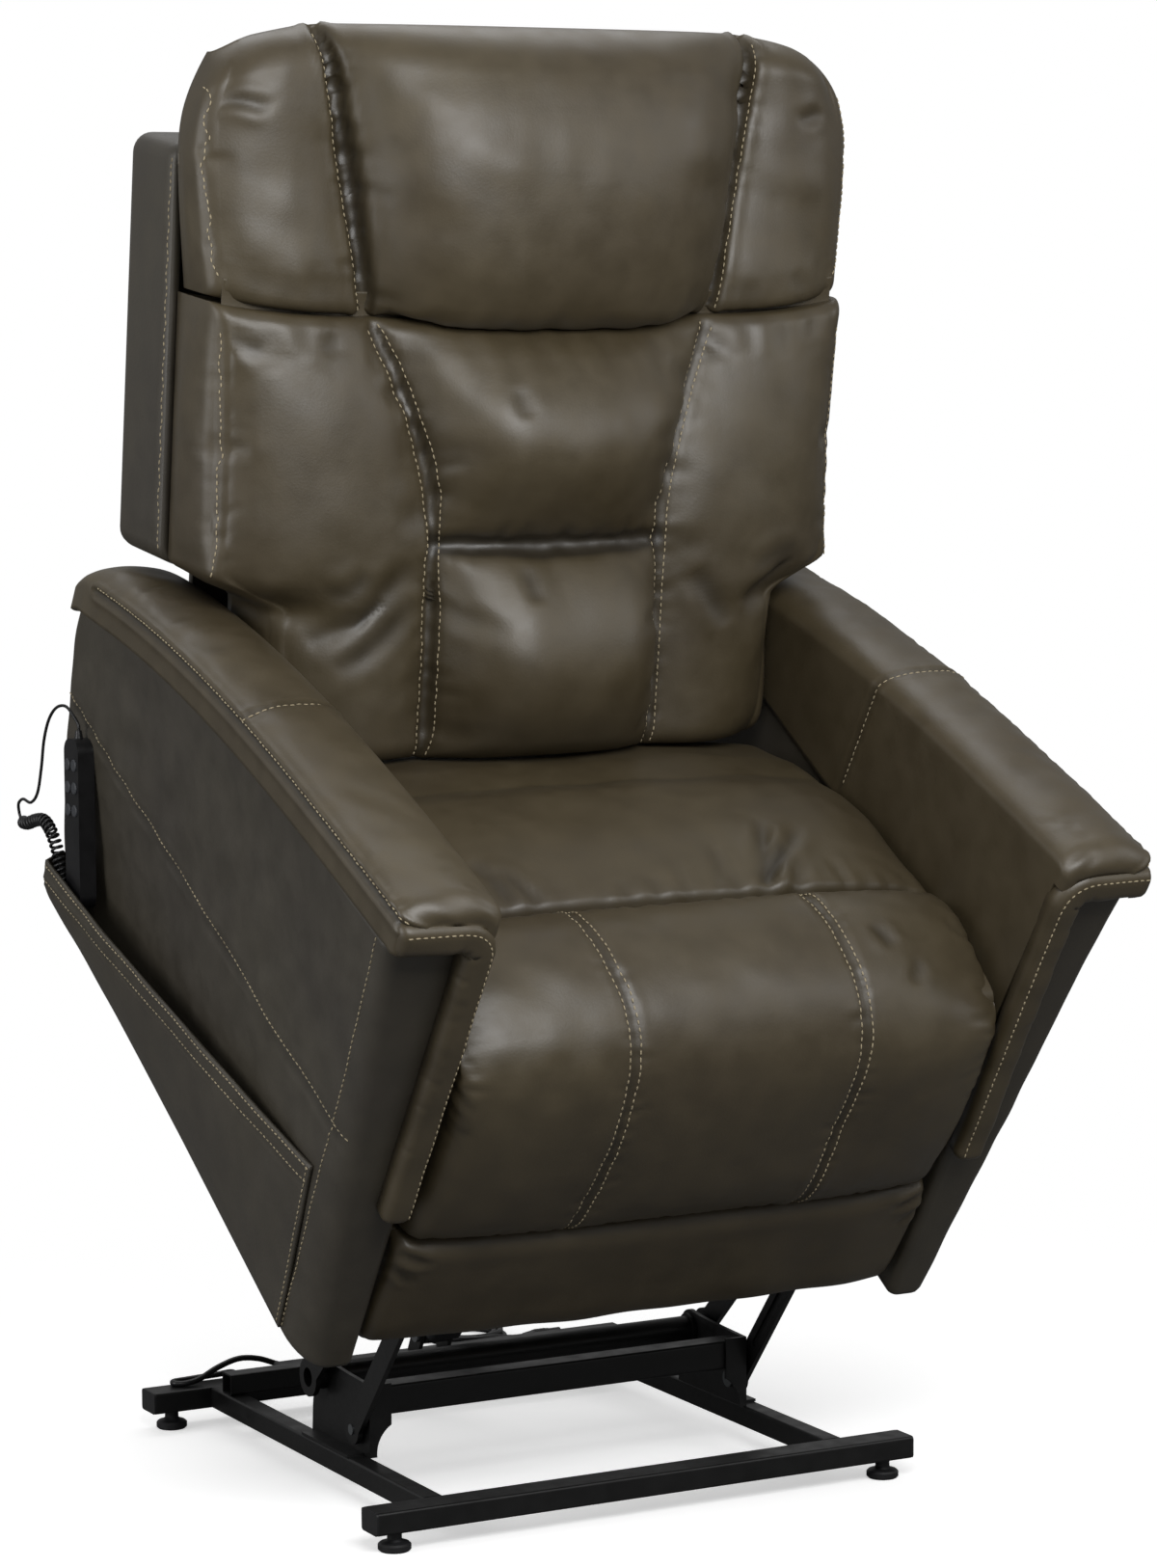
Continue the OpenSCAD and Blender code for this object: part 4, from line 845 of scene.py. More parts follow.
@dataclass
class Arm:
    """One arm: a crowned cover that runs down inside, a slanting box, and the strip round its front."""

    side: int
    shop: Shop
    inner: float = 335.0
    outer: float = 445.0
    front: float = -184.0
    rear: float = 700.0
    crown: float = 62.0
    strip: float = 37.0
    box_front: float = -165.0
    box_rear: float = 612.0
    foot: float = 30.0
    label: str = ""

    def __post_init__(self) -> None:
        """Names the side."""
        self.label = "left" if self.side > 0 else "right"

    def seam(self, y: Array) -> Array:
        """Height of the seam between the box and the cover."""
        t = (np.clip(y, self.box_front, 640.0) + 168.0) / 808.0
        over = np.interp(y, [640.0, 668.0, 692.0, 702.0], [0.0, 12.0, 31.0, 44.0])
        return 619.0 - 110.0 * t - 74.0 * t ** 3 - over

    def outside(self, z: Array) -> Array:
        """How far out the box's outer face is at a height."""
        return 396.0 + 44.0 * (z - 30.0) / 590.0

    def place(self, points: Array) -> Array:
        """This side's drawing to the shared frame."""
        return seated(mirrored(points, self.side))

    def cover(self) -> None:
        """The cover: a boxing strip outside, a soft crown, and one leather on down the inner side."""
        ys = np.concatenate([self.front + 40.0 * (np.arange(14) / 14.0) ** 1.8, np.arange(-144.0, 586.0, 7.0),
                             np.arange(586.0, 640.0, 7.0), 640.0 + 60.0 * np.sin(np.linspace(0.0, np.pi / 2, 16))])
        ys = np.unique(np.clip(ys, self.front, self.rear))
        laid, mid = Layup(), (self.inner - 4.0 + self.outer) / 2.0
        for y in ys:
            b = float(self.seam(y))
            nose = math.sqrt(1.0 - (1.0 - clamp((y - self.front) / 36.0)) ** 2)
            tail = math.sqrt(max(0.0, 1.0 - 0.8 * clamp((y - 610.0) / 90.0) ** 3))
            h = (40.0 + (self.crown - 40.0) * nose) * tail
            w = 57.0 - 10.0 * clamp((y - 590.0) / 110.0) ** 2 - float(edge_round(y - self.front, 12.0)) \
                - float(edge_round(self.rear - y, 20.0))
            low = mix(b + 0.3 * h, min(b - 10.0, 436.0), clamp((y + 167.0) / 3.0)) if y < 600 else b - 8.0
            side_h = min(self.strip, 0.64 * h)
            up = [[mid + w, y, b + side_h * k / 9.0] for k in range(9)]
            a = np.radians(np.linspace(0.0, 180.0, 45))
            over = np.stack([mid + w * np.cos(a) * (1.0 - 0.05 * np.sin(a)), np.full(45, y),
                             b + side_h + (h - side_h) * np.sin(a) ** 0.86], -1)
            down = spread([over[-1], [mid - w, y, low]], 22)[1:]
            chain = np.concatenate([up, over, down])
            s = arc_length(chain)
            out = unit(np.stack([np.gradient(chain[:, 2]), np.zeros(len(chain)), -np.gradient(chain[:, 0])], -1))
            laid.lay(chain, chain - out * 9.0, np.stack([np.full(len(s), y), s], -1))
        form = laid.form(f"arm_cover_{self.label}")
        edge = self.strip
        ripple_seed = 3 if self.side > 0 else 8
        live = form.face
        s = np.where(live > 0, form.flat[..., 1], 0.0)
        crown = clamp((s - edge) / 30.0) * clamp((150.0 - s) / 60.0) * live
        form.swell(crown * (2.2 * ripple(form.flat, 170.0, ripple_seed) + 0.9 * ripple(form.flat, 60.0, ripple_seed)))
        seam = ((self.front + 2, edge), (620.0, edge))
        folds = [Fold(seam, 4.2, 4.2, 0.5, 0.0, 0.8)]
        folds += gathers(seam, 26.0, 15.0, 1.9, 11 + self.side, (1,))
        folds += gathers(((self.front + 4, edge), (-60.0, edge)), 10.0, 19.0, 2.9, 21 + self.side, (1,), 2.8)
        folds += gathers(((self.front + 4, 128.0), (-80.0, 128.0)), 15.0, 24.0, 2.5, 31 + self.side, (-1, 1), 3.4)
        folds += gathers(((420.0, 60.0), (640.0, 60.0)), 26.0, 34.0, 2.4, 41 + self.side)
        cross = ((227.0, edge + 2.0), (229.0, 320.0))
        folds.append(Fold(cross, 2.6, 4.0, 0.6, 0.05, 0.7))
        folds += gathers(cross, 22.0, 22.0, 1.6, 51 + self.side)
        form.press(folds, live)
        self.shop.pad(form, self.place, "chair", f"arm_pad_{self.label}")
        self.shop.thread.sew("chair", form, [[self.front + 5, edge + 5.5], [-60, edge + 5.5], [300, edge + 5.5],
                                             [612, edge + 5.5]])
        self.shop.thread.sew("chair", form, [[222, edge + 8], [224, 150], [224, 300]])

    def box(self) -> None:
        """The box under the cover, open below and above, with its slanting outer face."""
        top = np.array([[y, self.seam(y)] for y in (self.box_front, *np.arange(-120.0, 641.0, 40.0))]
                       + [[668.0, 424.0], [690.0, 404.0]])
        rear = curved([[self.box_rear, self.foot], [630, 74], [653, 128], [682, 247], [697, 350], [690, 404]], 8)
        levels = np.concatenate([[0.0, 0.006], np.linspace(0.02, 1.0, 56)])
        walls = []
        for inset in (0.0, 12.0):
            rings = []
            for v in (levels if inset == 0.0 else levels[::-1][::6]):
                tuck = 1.6 if v == 0.0 else 0.0        # the skin turns in at its foot
                rings.append([self.wall_point(u, float(v), dx, outer, inset + tuck, top, rear)
                              for u, dx, outer in self.outline(v)])
            walls.append(np.array(rings))
        rings = np.concatenate(walls)
        form = Form(f"arm_box_{self.label}", rings, rings[..., 1:].copy(), Ends.LOOP)
        m = len(walls[0])
        live = np.zeros(form.rings.shape[:2])
        live[:m] = (rings[:m, :, 0] > 372.0) * 1.0
        form.flat[live < 0.5] = FAR
        inside = clamp((rings[..., 2] - 34.0) / 40.0) * live
        form.swell(inside * (1.5 * ripple(rings[..., 1:], 260.0, 5) + 0.5 * ripple(rings[..., 1:], 90.0, 6)))
        slant = ((-150.0, 343.0), (206.0, 323.0), (573.0, 296.0), (676.0, 288.0))
        drag = [Fold(((x, 470.0 - 0.2 * x), (x + 70.0, 360.0 - 0.05 * x)), 1.6, 16.0, 0.5, 0.5, 0.1)
                for x in (-90.0, 40.0, 170.0, 330.0, 460.0)]
        form.press([Fold(slant, 2.8, 3.6, 0.5, 0.02, 0.7), *gathers(slant, 34.0, 16.0, 0.9, 60), *drag], live)
        self.shop.panel(form, self.place, "chair", f"arm_shell_{self.label}")
        self.shop.thread.sew("chair", form, slant, 5.0)
        self.shop.thread.sew("chair", form, [[-138.0, 606.0], [-128.0, 420.0], [-116.0, 230.0], [-104.0, 40.0]])

    def outline(self, v: float) -> list[tuple[float, float, bool]]:
        """The box's plan at a share v of its height.

        Returns:
            For each point the share of the box's length, how far it lies off the face, and whether that is the outer
            face.
        """
        long, rear, hidden = 800.0, 12.0, 10.0       # the length that shares are of, and the smaller corner radii
        ry, rx = 16.0 + 46.0 * (1 - v), 16.0 + 14.0 * (1 - v)
        corner = np.radians(np.linspace(0, 90, 9))
        chain = [(float(ry * (1 - np.cos(c))) / long, -rx * (1 - math.sin(c)), True) for c in corner]
        chain += [(mix(ry / long, 1.0 - rear / long, t), 0.0, True) for t in np.linspace(0.0, 1.0, 96)[1:-1]]
        chain += [(1.0 - rear / long * (1 - math.sin(c)), -rear * (1 - math.cos(c)), True) for c in corner]
        chain += [(1.0 - hidden / long * (1 - math.sin(math.pi / 2 - c)), hidden * (1 - math.sin(c)), False)
                  for c in corner]
        chain += [(mix(1.0 - hidden / long, hidden / long, t), 0.0, False) for t in np.linspace(0, 1, 24)[1:-1]]
        return chain + [(hidden / long * (1 - math.sin(c)), hidden * (1 - math.cos(c)), False) for c in corner]

    def wall_point(self, u: float, v: float, dx: float, outer: bool, inset: float, top: Array,
                   rear: Array) -> list[float]:
        """A point of the box's skin, at shares u of its length and v of its height."""
        u = float(clamp(u))
        if inset > 2.0:
            u = mix(u, 0.5, 0.03)
        run, back = arc_length(top), arc_length(rear)
        t = np.array([np.interp(u * run[-1], run, top[:, k]) for k in (0, 1)])
        r = np.array([np.interp(v * back[-1], back, rear[:, k]) for k in (0, 1)])
        b = np.array([mix(self.box_front, self.box_rear, u), self.foot])
        f = np.array([self.box_front, mix(self.foot, top[0, 1], v)])
        corners = ((1 - u) * (1 - v) * np.array([self.box_front, self.foot])
                   + u * (1 - v) * np.array([self.box_rear, self.foot]) + (1 - u) * v * top[0] + u * v * top[-1])
        y, z = (1 - v) * b + v * t + (1 - u) * f + u * r - corners
        x = self.outside(z) - inset + dx if outer else self.inner + inset + dx
        return [float(x), float(y), float(z)]

    def front_strip(self) -> None:
        """The padded strip across the front, turned down its inner edge."""
        turn = [[372.0 - 24.0 * math.sin(a), 612.0 + 24.0 * math.cos(a)] for a in np.radians(np.arange(0, 91, 10))]
        path = np.array([[443.0, 637.0], [420.0, 637.0], [396.0, 636.5], *turn, [348.0, 560.0], [348.0, 470.0],
                         [349.0, 380.0], [350.0, 300.0], [350.0, 256.0]])
        path = spread(curved(path, 5), 150)
        way = unit(np.gradient(path, axis=0))
        across = np.stack([-way[:, 1], way[:, 0]], -1)
        s, total = arc_length(path), length_of(path)
        laid = Layup()
        for i, p in enumerate(path):
            end = edge_round(min(s[i], total - s[i]) + 0.01, 9.0)
            half = mix(18.5, 16.5, clamp((s[i] - 90.0) / 60.0)) - 0.6 * end
            a = np.sin(np.radians(np.linspace(-90, 90, 25))) * half
            deep = (13.5 - end) * np.sqrt(np.maximum(0.0, 1 - np.abs(a / half) ** 3.4)) + 4.0
            chain = np.stack([p[0] + across[i, 0] * a, -174.0 - deep, p[1] + across[i, 1] * a], -1)
            laid.lay(chain, chain * [1, 0, 1] + [0, -166.0, 0], np.stack([np.full(25, s[i]), a], -1))
        form = laid.form(f"arm_front_strip_{self.label}")
        live = form.face
        form.swell(live * 0.7 * ripple(form.flat, 70.0, 70 + self.side))
        line = ((60.0, 16.0), (140.0, 16.0))
        form.press(gathers(line, 11.0, 13.0, 1.8, 80, (-1,), 2.6)
                   + gathers(((150.0, 15.0), (400.0, 15.0)), 44.0, 14.0, 1.1, 81, (-1,)), live)
        nodes = ("arm_front_trims",) if self.side > 0 else ()
        self.shop.pad(form, self.place, "chair", *nodes)
        self.shop.thread.sew("chair", form, [[8.0, -10.5], [total - 10.0, -10.5]])

    def build(self) -> None:
        """Makes the arm."""
        self.cover()
        self.box()
        self.front_strip()


@dataclass
class Pocket:
    """Handset pocket: a flap of leather on the right arm, held at its ends and foot, sagging at the lip."""

    shop: Shop
    arm: Arm
    front: float = -104.0
    rear: float = 606.0
    wall: float = 4.0

    def lip(self, y: float) -> float:
        """Height of the pocket's mouth."""
        return 123.0 + 145.0 * (585.0 - y) / 681.0

    def build(self) -> None:
        """Makes the pocket with its turned hem."""
        laid = Layup()
        for y in np.concatenate([[-104.0, -102.0], np.arange(-98.0, 600.0, 7.0), [600.0, 603.0, 606.0]]):
            v = np.linspace(0.0, 1.0, 34)
            z = mix(36.0, self.lip(y), v)
            gap = 0.02 + 42.0 * clamp((y - self.front) / 640.0) ** 0.8 * clamp((self.rear - y) / 22.0) ** 0.6 \
                * np.sin(np.pi / 2 * v) ** 0.7
            x = np.minimum(self.arm.outside(z) + gap, 441.0)
            outer = np.stack([x + self.wall, np.full(34, y), z], -1)
            laid.lay(outer, outer - [self.wall - 0.4, 0.0, 0.0], np.stack([np.full(34, y), z], -1))
        form = laid.form("handset_pocket")
        live = form.face
        lip = ((-100.0, self.lip(-100.0) - 26.0), (600.0, self.lip(600.0) - 26.0))
        form.press([Fold(lip, 1.2, 3.0, 0.6, 0.0, 0.6)], live)
        sag = 1.1 * ripple(np.where(live[..., None] > 0, form.flat, 0.0), 150.0, 90)
        free = clamp((form.rings[..., 2] - 40) / 30) * clamp((586 - form.rings[..., 1]) / 60)
        form.rings[..., 0] += sag * live * free
        form.rings[..., 0] = np.minimum(form.rings[..., 0], 446.0)
        self.shop.panel(form, self.arm.place, "chair", "side_pocket")
        for low in (5.0, 24.0):
            self.shop.thread.sew("chair", form, [[-98.0, self.lip(-98.0) - low], [600.0, self.lip(600.0) - low]])
        self.shop.thread.sew("chair", form, [[-98.0, 42.0], [-98.0, self.lip(-98.0) - 8.0]])


# ---------- seat, chaise and footrest ----------

def columns(half: float, count: int, edge: float = 20.0) -> Array:
    """Places across a cushion, closer together at its rounded ends."""
    q = np.linspace(0.0, 1.0, 9)
    ends = half - edge + edge * np.sin(q * np.pi / 2)
    return np.concatenate([-ends[::-1], np.linspace(-(half - edge), half - edge, count)[1:-1], ends])


@dataclass
class Seat:
    """Seat panel, the chaise that bends over the footrest's hinge, the band below it and the rear skirt."""

    shop: Shop
    half: float = 325.0
    chaise_half: float = 322.0
    band_half: float = 327.0
    stitch: float = 142.0

    def top(self, y: Array, u: float) -> Array:
        """Height of the seat panel at a depth, and at a share of the way to its side."""
        edge = abs(u) ** 4
        line = np.minimum(501.0 - 26.0 * clamp(y / 250.0) ** 2 - 60.0 * clamp((y - 200.0) / 200.0) ** 1.3,
                          452.0 - 0.48 * (y - 300.0))
        return line + 16.0 * np.sin(np.pi * clamp((y + 10.0) / 260.0)) * (1 - edge) - 20.0 * edge

    def panel(self) -> None:
        """The seat panel behind the chaise seam."""
        laid = Layup()
        y = np.concatenate([[0.4, 2.0, 5.0, 9.0, 14.0], np.linspace(20.0, 380.0, 62), [388.0, 394.0, 398.0]])
        for x in columns(self.half, 96):
            z = (self.top(y, x / self.half) - 15.0 * clamp((9.0 - y) / 9.0) ** 1.5
                 - 12.0 * clamp((y - 384.0) / 14.0) ** 2)
            z = np.maximum(z, 397.0 - 0.07 * y + 6.0) - edge_round(self.half - abs(x), 20.0) * 0.35
            front = np.stack([np.full(len(y), x), y, z], -1)
            laid.lay(front, front * [1, 1, 0] + [[0, 0, 397.0 - 0.07 * q] for q in y], front[:, :2])
        form = laid.form("seat_panel")
        live = form.face
        form.swell(live * 1.8 * ripple(form.flat, 150.0, 100) * clamp((form.flat[..., 1] - 8) / 40))
        folds = [Fold(((-300.0, 3.0), (300.0, 3.0)), 2.0, 8.0, 0.2, 0.02, 0.7)]
        folds += [Fold(((154, 117), (111, 16)), 4.0, 9.0, 0.5), Fold(((198, 104), (115, 15)), 3.4, 8.0, 0.5),
                  Fold(((162, 69), (113, 16)), 3.2, 7.0, 0.5), Fold(((-214, 85), (-191, 18)), 3.6, 8.0, 0.5),
                  Fold(((-191, 68), (-164, 12)), 3.2, 7.0, 0.5)]
        folds += gathers(((-310.0, 6.0), (310.0, 6.0)), 40.0, 34.0, 4.2, 120, (1,), 6.0)
        folds += gathers(((0.0, 4.0), (150.0, 4.0)), 26.0, 60.0, 6.0, 121, (1,), 7.0)
        form.press(folds, live)
        self.shop.pad(form, seated, "chair", "seat_cushion")

    def chaise(self) -> None:
        """One soft leather from the seat seam over the front edge and down the footrest's face."""
        line = [[2, 490], [-5, 504], [-22, 517], [-58, 523], [-100, 519], [-140, 506], [-172, 485], [-194, 456],
                [-203, 428], [-206, 395], [-207, 360], [-204, 315], [-200, 270], [-193, 236], [-183, 216],
                [-172, 208], [-160, 206], [-128, 208]]
        under = [[2, 452], [-22, 467], [-58, 478], [-100, 480], [-142, 476], [-160, 466], [-160, 440], [-128, 408],
                 [-128, 300], [-128, 212]]
        outer, inner = spread(curved(line, 8), 124), spread(curved(under, 4), 124)
        s, laid = arc_length(outer), Layup()
        for x in columns(self.chaise_half, 100, 18.0):
            e = abs(x / self.chaise_half) ** 5
            front = np.stack([np.full(len(s), x), outer[:, 0], outer[:, 1]], -1)
            upper = clamp((front[:, 2] - 428.0) / 60.0)
            front[:, 1] += 13.0 * e * clamp((-60.0 - front[:, 1]) / 20.0)
            front[:, 2] -= 22.0 * e * upper
            back = np.stack([np.full(len(s), x), inner[:, 0], inner[:, 1]], -1)
            end = clamp(edge_round(self.chaise_half - abs(x), 18.0) / 18.0)
            front = mix(front, back, 0.35 * end)
            laid.lay(front, back, np.stack([np.full(len(s), x), s], -1))
        form = laid.form("chaise_pad")
        live = form.face
        form.swell(live * (2.4 * ripple(form.flat, 180.0, 130) + 0.8 * ripple(form.flat, 70.0, 131))
                   * clamp((form.flat[..., 1] - 10) / 50) * clamp((s[-1] - 50 - form.flat[..., 1]) / 40))
        q = self.stitch
        seams = [((q - 2, 8.0), (q + 4, 120.0), (q + 6, 220.0), (q + 4, 320.0), (q, s[-1] - 46)),
                 ((-q - 2, 8.0), (-q + 3, 110.0), (-q + 12, 190.0), (-q + 10, 300.0), (-q + 6, s[-1] - 46))]
        form.inflate(seams, 8.0)
        folds = [Fold(line, 4.0, 5.5, 0.2, 0.02, 0.55) for line in seams]
        folds += [Fold(((190, 98), (203, 132)), 3.4, 8.0, 0.5), Fold(((232, 150), (214, 176)), 2.4, 8.0, 0.4)]
        for k, line in enumerate(seams):
            folds += gathers(line, 20.0, 22.0, 2.6, 140 + k)
        folds += gathers(((-310.0, 6.0), (310.0, 6.0)), 26.0, 30.0, 3.0, 150, (1,), 4.6)
        for side in (-1, 1):
            for seed, way in ((160, side), (170, -side)):
                folds += gathers(((side * 318.0, 40.0), (side * 318.0, 330.0)), 24.0, 26.0, 2.8, seed + side, (way,))
        folds += gathers(((-300.0, s[-1] - 44), (300.0, s[-1] - 44)), 30.0, 26.0, 2.6, 180, (-1,))
        form.press(folds, live)
        obj = form.build(seated, self.shop.wardrobe.get("leather"))
        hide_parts("chaise_roll", "footrest_pad")
        foot_bend(obj)
        for line in seams:
            self.shop.thread.twin("chaise", form, curved(line, 6), 13.0)

    def band(self) -> None:
        """The band under the footrest's face, with folded top corners."""
        line = curved([[-132, 204], [-162, 204], [-174, 198], [-180, 185], [-178, 160], [-173, 110], [-169, 72],
                       [-160, 52], [-132, 46]], 8)
        outer = spread(line, 60)
        s, laid = arc_length(outer), Layup()
        for x in columns(self.band_half, 84, 14.0):
            e = abs(x / self.band_half) ** 6
            front = np.stack([np.full(60, x), outer[:, 0] + 8.0 * e * (outer[:, 0] < -150), outer[:, 1]], -1)
            front[:, 2] += 3.0 * e * clamp((front[:, 2] - 170) / 20)
            back = np.stack([np.full(60, x), np.full(60, -128.0), np.linspace(196.0, 56.0, 60)], -1)
            front = mix(front, back, 0.3 * clamp(edge_round(self.band_half - abs(x), 14.0) / 14.0))
            laid.lay(front, back, np.stack([np.full(60, x), s], -1))
        form = laid.form("footrest_band_cover")
        live = form.face
        form.swell(live * 1.3 * ripple(form.flat, 160.0, 190) * clamp((form.flat[..., 1] - 40) / 40))
        folds = []
        for side in (-1, 1):
            folds += [Fold(((side * 325, 52), (side * 286, 66)), 3.4, 5.0, 0.7),
                      Fold(((side * 322, 72), (side * 300, 96)), 2.2, 5.0, 0.6)]
        folds += gathers(((-310.0, 30.0), (310.0, 30.0)), 46.0, 20.0, 1.4, 200, (1,))
        form.press(folds, live)
        self.shop.pad(form, seated, "footrest", "footrest_band")

    def skirt(self) -> None:
        """The panel that closes the gap between the arms behind."""
        laid = Layup()
        for x in columns(333.0, 60, 5.0):
            z = np.linspace(46.0, 254.0, 40)
            belly = 4.0 * math.sqrt(max(0.0, 1 - (x / 334.0) ** 6))
            rear = np.stack([np.full(40, x), 629.0 + belly * np.sin(np.pi * (z - 45) / 210) ** 0.4, z], -1)
            laid.lay(rear, rear * [1, 0, 1] + [0, 626.0, 0], rear[:, [0, 2]])
        form = laid.form("rear_skirt_cover")
        self.shop.panel(form, seated, "chair", "rear_skirt")
        self.shop.thread.sew("chair", form, [[-322.0, 62.0], [322.0, 62.0]])

    def build(self) -> None:
        """Makes the four pieces."""
        self.panel()
        self.chaise()
        self.band()
        self.skirt()


# ---------- back and headrest ----------

def side_chain(x: float, front: float, rear: float, sign: int, radius: float, steps: int) -> Array:
    """The rounded corner and side of a cushion at one height: from its front face out and back to its rear."""
    a = np.radians(np.linspace(6.0, 90.0, 9))
    arc = np.stack([x - radius + radius * np.sin(a), front + radius * (1 - np.cos(a))], -1)
    side = np.stack([np.full(steps, x), np.linspace(front + radius, rear, steps + 1)[1:]], -1)
    return np.concatenate([arc, side]) * [sign, 1.0]


def round_front(x: Array, y: Array, w: float, r: float, rear: float, steps: int) -> tuple[Array, Array]:
    """A cushion's plan at one height, from its rear round the front to its rear.

    Args:
        x: places across the front face.
        y: the front face at them.
        w: half the width.
        r: radius of the corners.
        rear: where the sides end.
        steps: points along each side.

    Returns:
        The chain, and its places across the flat leather.
    """
    right = side_chain(w, y[-1], rear, 1, r, steps)
    left = side_chain(w, y[0], rear, -1, r, steps)[::-1]
    flat = np.concatenate([-(w + np.maximum(0, left[:, 1] - y[0] - r)), x, w + np.maximum(0, right[:, 1] - y[-1] - r)])
    return np.concatenate([left, np.stack([x, y], -1), right]), flat


@dataclass
class Back:
    """Back cushion of three panels across, over an outer back with its tongue between the arms."""

    shop: Shop
    face: float = -131.0
    low: float = -200.0
    high: float = 285.0
    wide: float = 392.0

    def stitch_x(self, z: Array) -> Array:
        """Where the seam beside the middle panels is."""
        return 143.0 + 64.0 * clamp((z - 60.0) / 215.0) ** 1.6

    def half(self, z: Array) -> Array:
        """Half the width."""
        step = clamp((z + 36.0) / 46.0)
        return mix(318.0, self.wide, step * step * (3 - 2 * step)) - 8.0 * clamp((-150.0 - z) / 50.0) ** 2

    def middle(self, z: float) -> float:
        """Front of the middle panels: two soft lobes with a channel between them."""
        if z < 47.0:
            return -290.0 - 86.0 * math.sin(math.pi * clamp((z + 214.0) / 262.0)) ** 0.85
        return -286.0 + 34.0 * clamp((z - 140.0) / 140.0) ** 1.4 \
            - 74.0 * math.sin(math.pi * clamp((z - 40.0) / 250.0)) ** 0.8

    def seam(self, z: Array) -> Array:
        """Front of the side seams."""
        return -277.0 + 40.0 * clamp((z - 60.0) / 220.0) ** 1.5

    def front(self, x: Array, z: float) -> Array:
        """Front face at places across."""
        s, w, m, e = float(self.stitch_x(z)), float(self.half(z)), self.middle(z), float(self.seam(z))
        t = clamp((np.abs(x) - s) / (w - s))
        return np.where(np.abs(x) < s, mix(m, e, (np.abs(x) / s) ** 3.4),
                        e - 19.0 * np.sin(np.pi * t) ** 0.9 + (-232.0 - e) * t ** 3)

    def cushion(self) -> None:
        """The cushion."""
        laid = Layup()
        zs = np.concatenate([self.low + 24.0 * (np.arange(8) / 8.0) ** 1.7, np.linspace(-176.0, 256.0, 92),
                             self.high - 24.0 * (1 - (np.arange(1, 9) / 8.0)) ** 1.7])
        for z in zs:
            w, r = float(self.half(z)), 17.0
            end = float(edge_round(z - self.low, 24.0) + edge_round(self.high - z, 13.0))
            x = np.linspace(-(w - r), w - r, 131)
            y = np.minimum(self.front(x, z) + end, self.face - 20.0)
            chain, flat_x = round_front(x, y, w, r, self.face, 8)
            lift = 18.0 * (np.abs(chain[:, 0]) / self.wide) ** 4 * clamp((z - 150.0) / 130.0)
            ring = np.stack([chain[:, 0], chain[:, 1], z + lift], -1)
            laid.lay(ring, ring * [1, 0, 1] + [0, self.face, 0], np.stack([flat_x, np.full(len(flat_x), z)], -1))
        form = laid.form("back_cushion_cover")
        live = form.face
        x, z = form.flat[..., 0], form.flat[..., 1]
        soft = live * clamp((z + 190) / 30) * clamp((272 - z) / 30) * clamp((380 - np.abs(x)) / 30)
        form.swell(soft * (2.6 * ripple(form.flat, 190.0, 210) + 1.1 * ripple(form.flat, 80.0, 211)))
        line_z = np.linspace(-192.0, 274.0, 24)
        seams = [np.stack([k * self.stitch_x(line_z), line_z], -1) for k in (-1, 1)]
        channel = ((-146.0, 43.0), (0.0, 40.0), (146.0, 43.0))
        form.inflate([*seams, channel], 14.0, 9.0)
        # each fold's last number is its painted shade; the channel's 1.9 paints deep shade into its valley
        folds = [Fold(seams[0], 4.6, 5.0, 0.2, 0.0, 0.6), Fold(seams[1], 4.6, 5.0, 0.2, 0.0, 0.6),
                 Fold(channel, 5.0, 9.0, 0.0, 0.02, 1.9)]
        folds += [Fold(((-379, 257), (-345, 242)), 3.0, 9.0, 0.4), Fold(((-280, 250), (-253, 265)), 2.4, 9.0, 0.4),
                  Fold(((-275, -12), (-246, -6), (-225, 16)), 4.4, 11.0, 0.35),
                  Fold(((-286, -62), (-239, -42), (-205, -12), (-168, 22)), 6.2, 14.0, 0.35),
                  Fold(((-256, -92), (-213, -62), (-165, -16)), 4.2, 12.0, 0.35),
                  Fold(((-239, -49), (-205, -16)), 3.0, 4.0, 0.2),
                  Fold(((186, 6), (206, -22), (232, -58)), 4.6, 12.0, 0.35),
                  Fold(((256, -40), (306, -7), (346, 15)), 5.0, 13.0, 0.35),
                  Fold(((262, 4), (295, 18), (330, 24)), 3.0, 10.0, 0.4), Fold(((286, -20), (330, 6)), 2.4, 4.0, 0.2),
                  Fold(((-47, 22), (-44, -14)), 3.4, 10.0, 0.2), Fold(((-71, 222), (-66, 190)), 2.4, 10.0, 0.2)]
        for k, seam in enumerate(seams):
            folds += gathers(seam, 20.0, 26.0, 2.6, 220 + k, (-1, 1), 4.6)
            folds += gathers(seam, 52.0, 52.0, 5.0, 224 + k, (-1, 1), 9.0)
        folds += gathers(channel, 17.0, 30.0, 3.4, 230, (-1, 1), 5.0)
        folds += gathers(((-372.0, 276.0), (372.0, 276.0)), 44.0, 40.0, 4.6, 231, (-1,), 9.0)
        for side in (-1, 1):
            folds += gathers(((side * 388.0, 10.0), (side * 388.0, 255.0)), 26.0, 24.0, 2.2, 232 + side, (side, -side))
        form.press(folds, live)
        self.shop.pad(form, leaning, "backrest", "back_cushion")
        for seam in seams:
            self.shop.thread.twin("backrest", form, seam, 15.0)
        for side in (-1, 1):
            self.shop.thread.sew("backrest", form, [[side * 396.0, 8.0], [side * 396.0, 255.0]])

    def tray(self) -> None:
        """The outer back: a leather-covered tray behind the frame, open to the front."""
        rings = []
        turn = 8                                    # points to a corner
        corner = np.radians(np.linspace(0, 90, turn))
        notch = (-330.0, -311.0, -309.0, -200.0, -100.0, 0.0, 100.0, 200.0, 309.0, 311.0, 330.0)

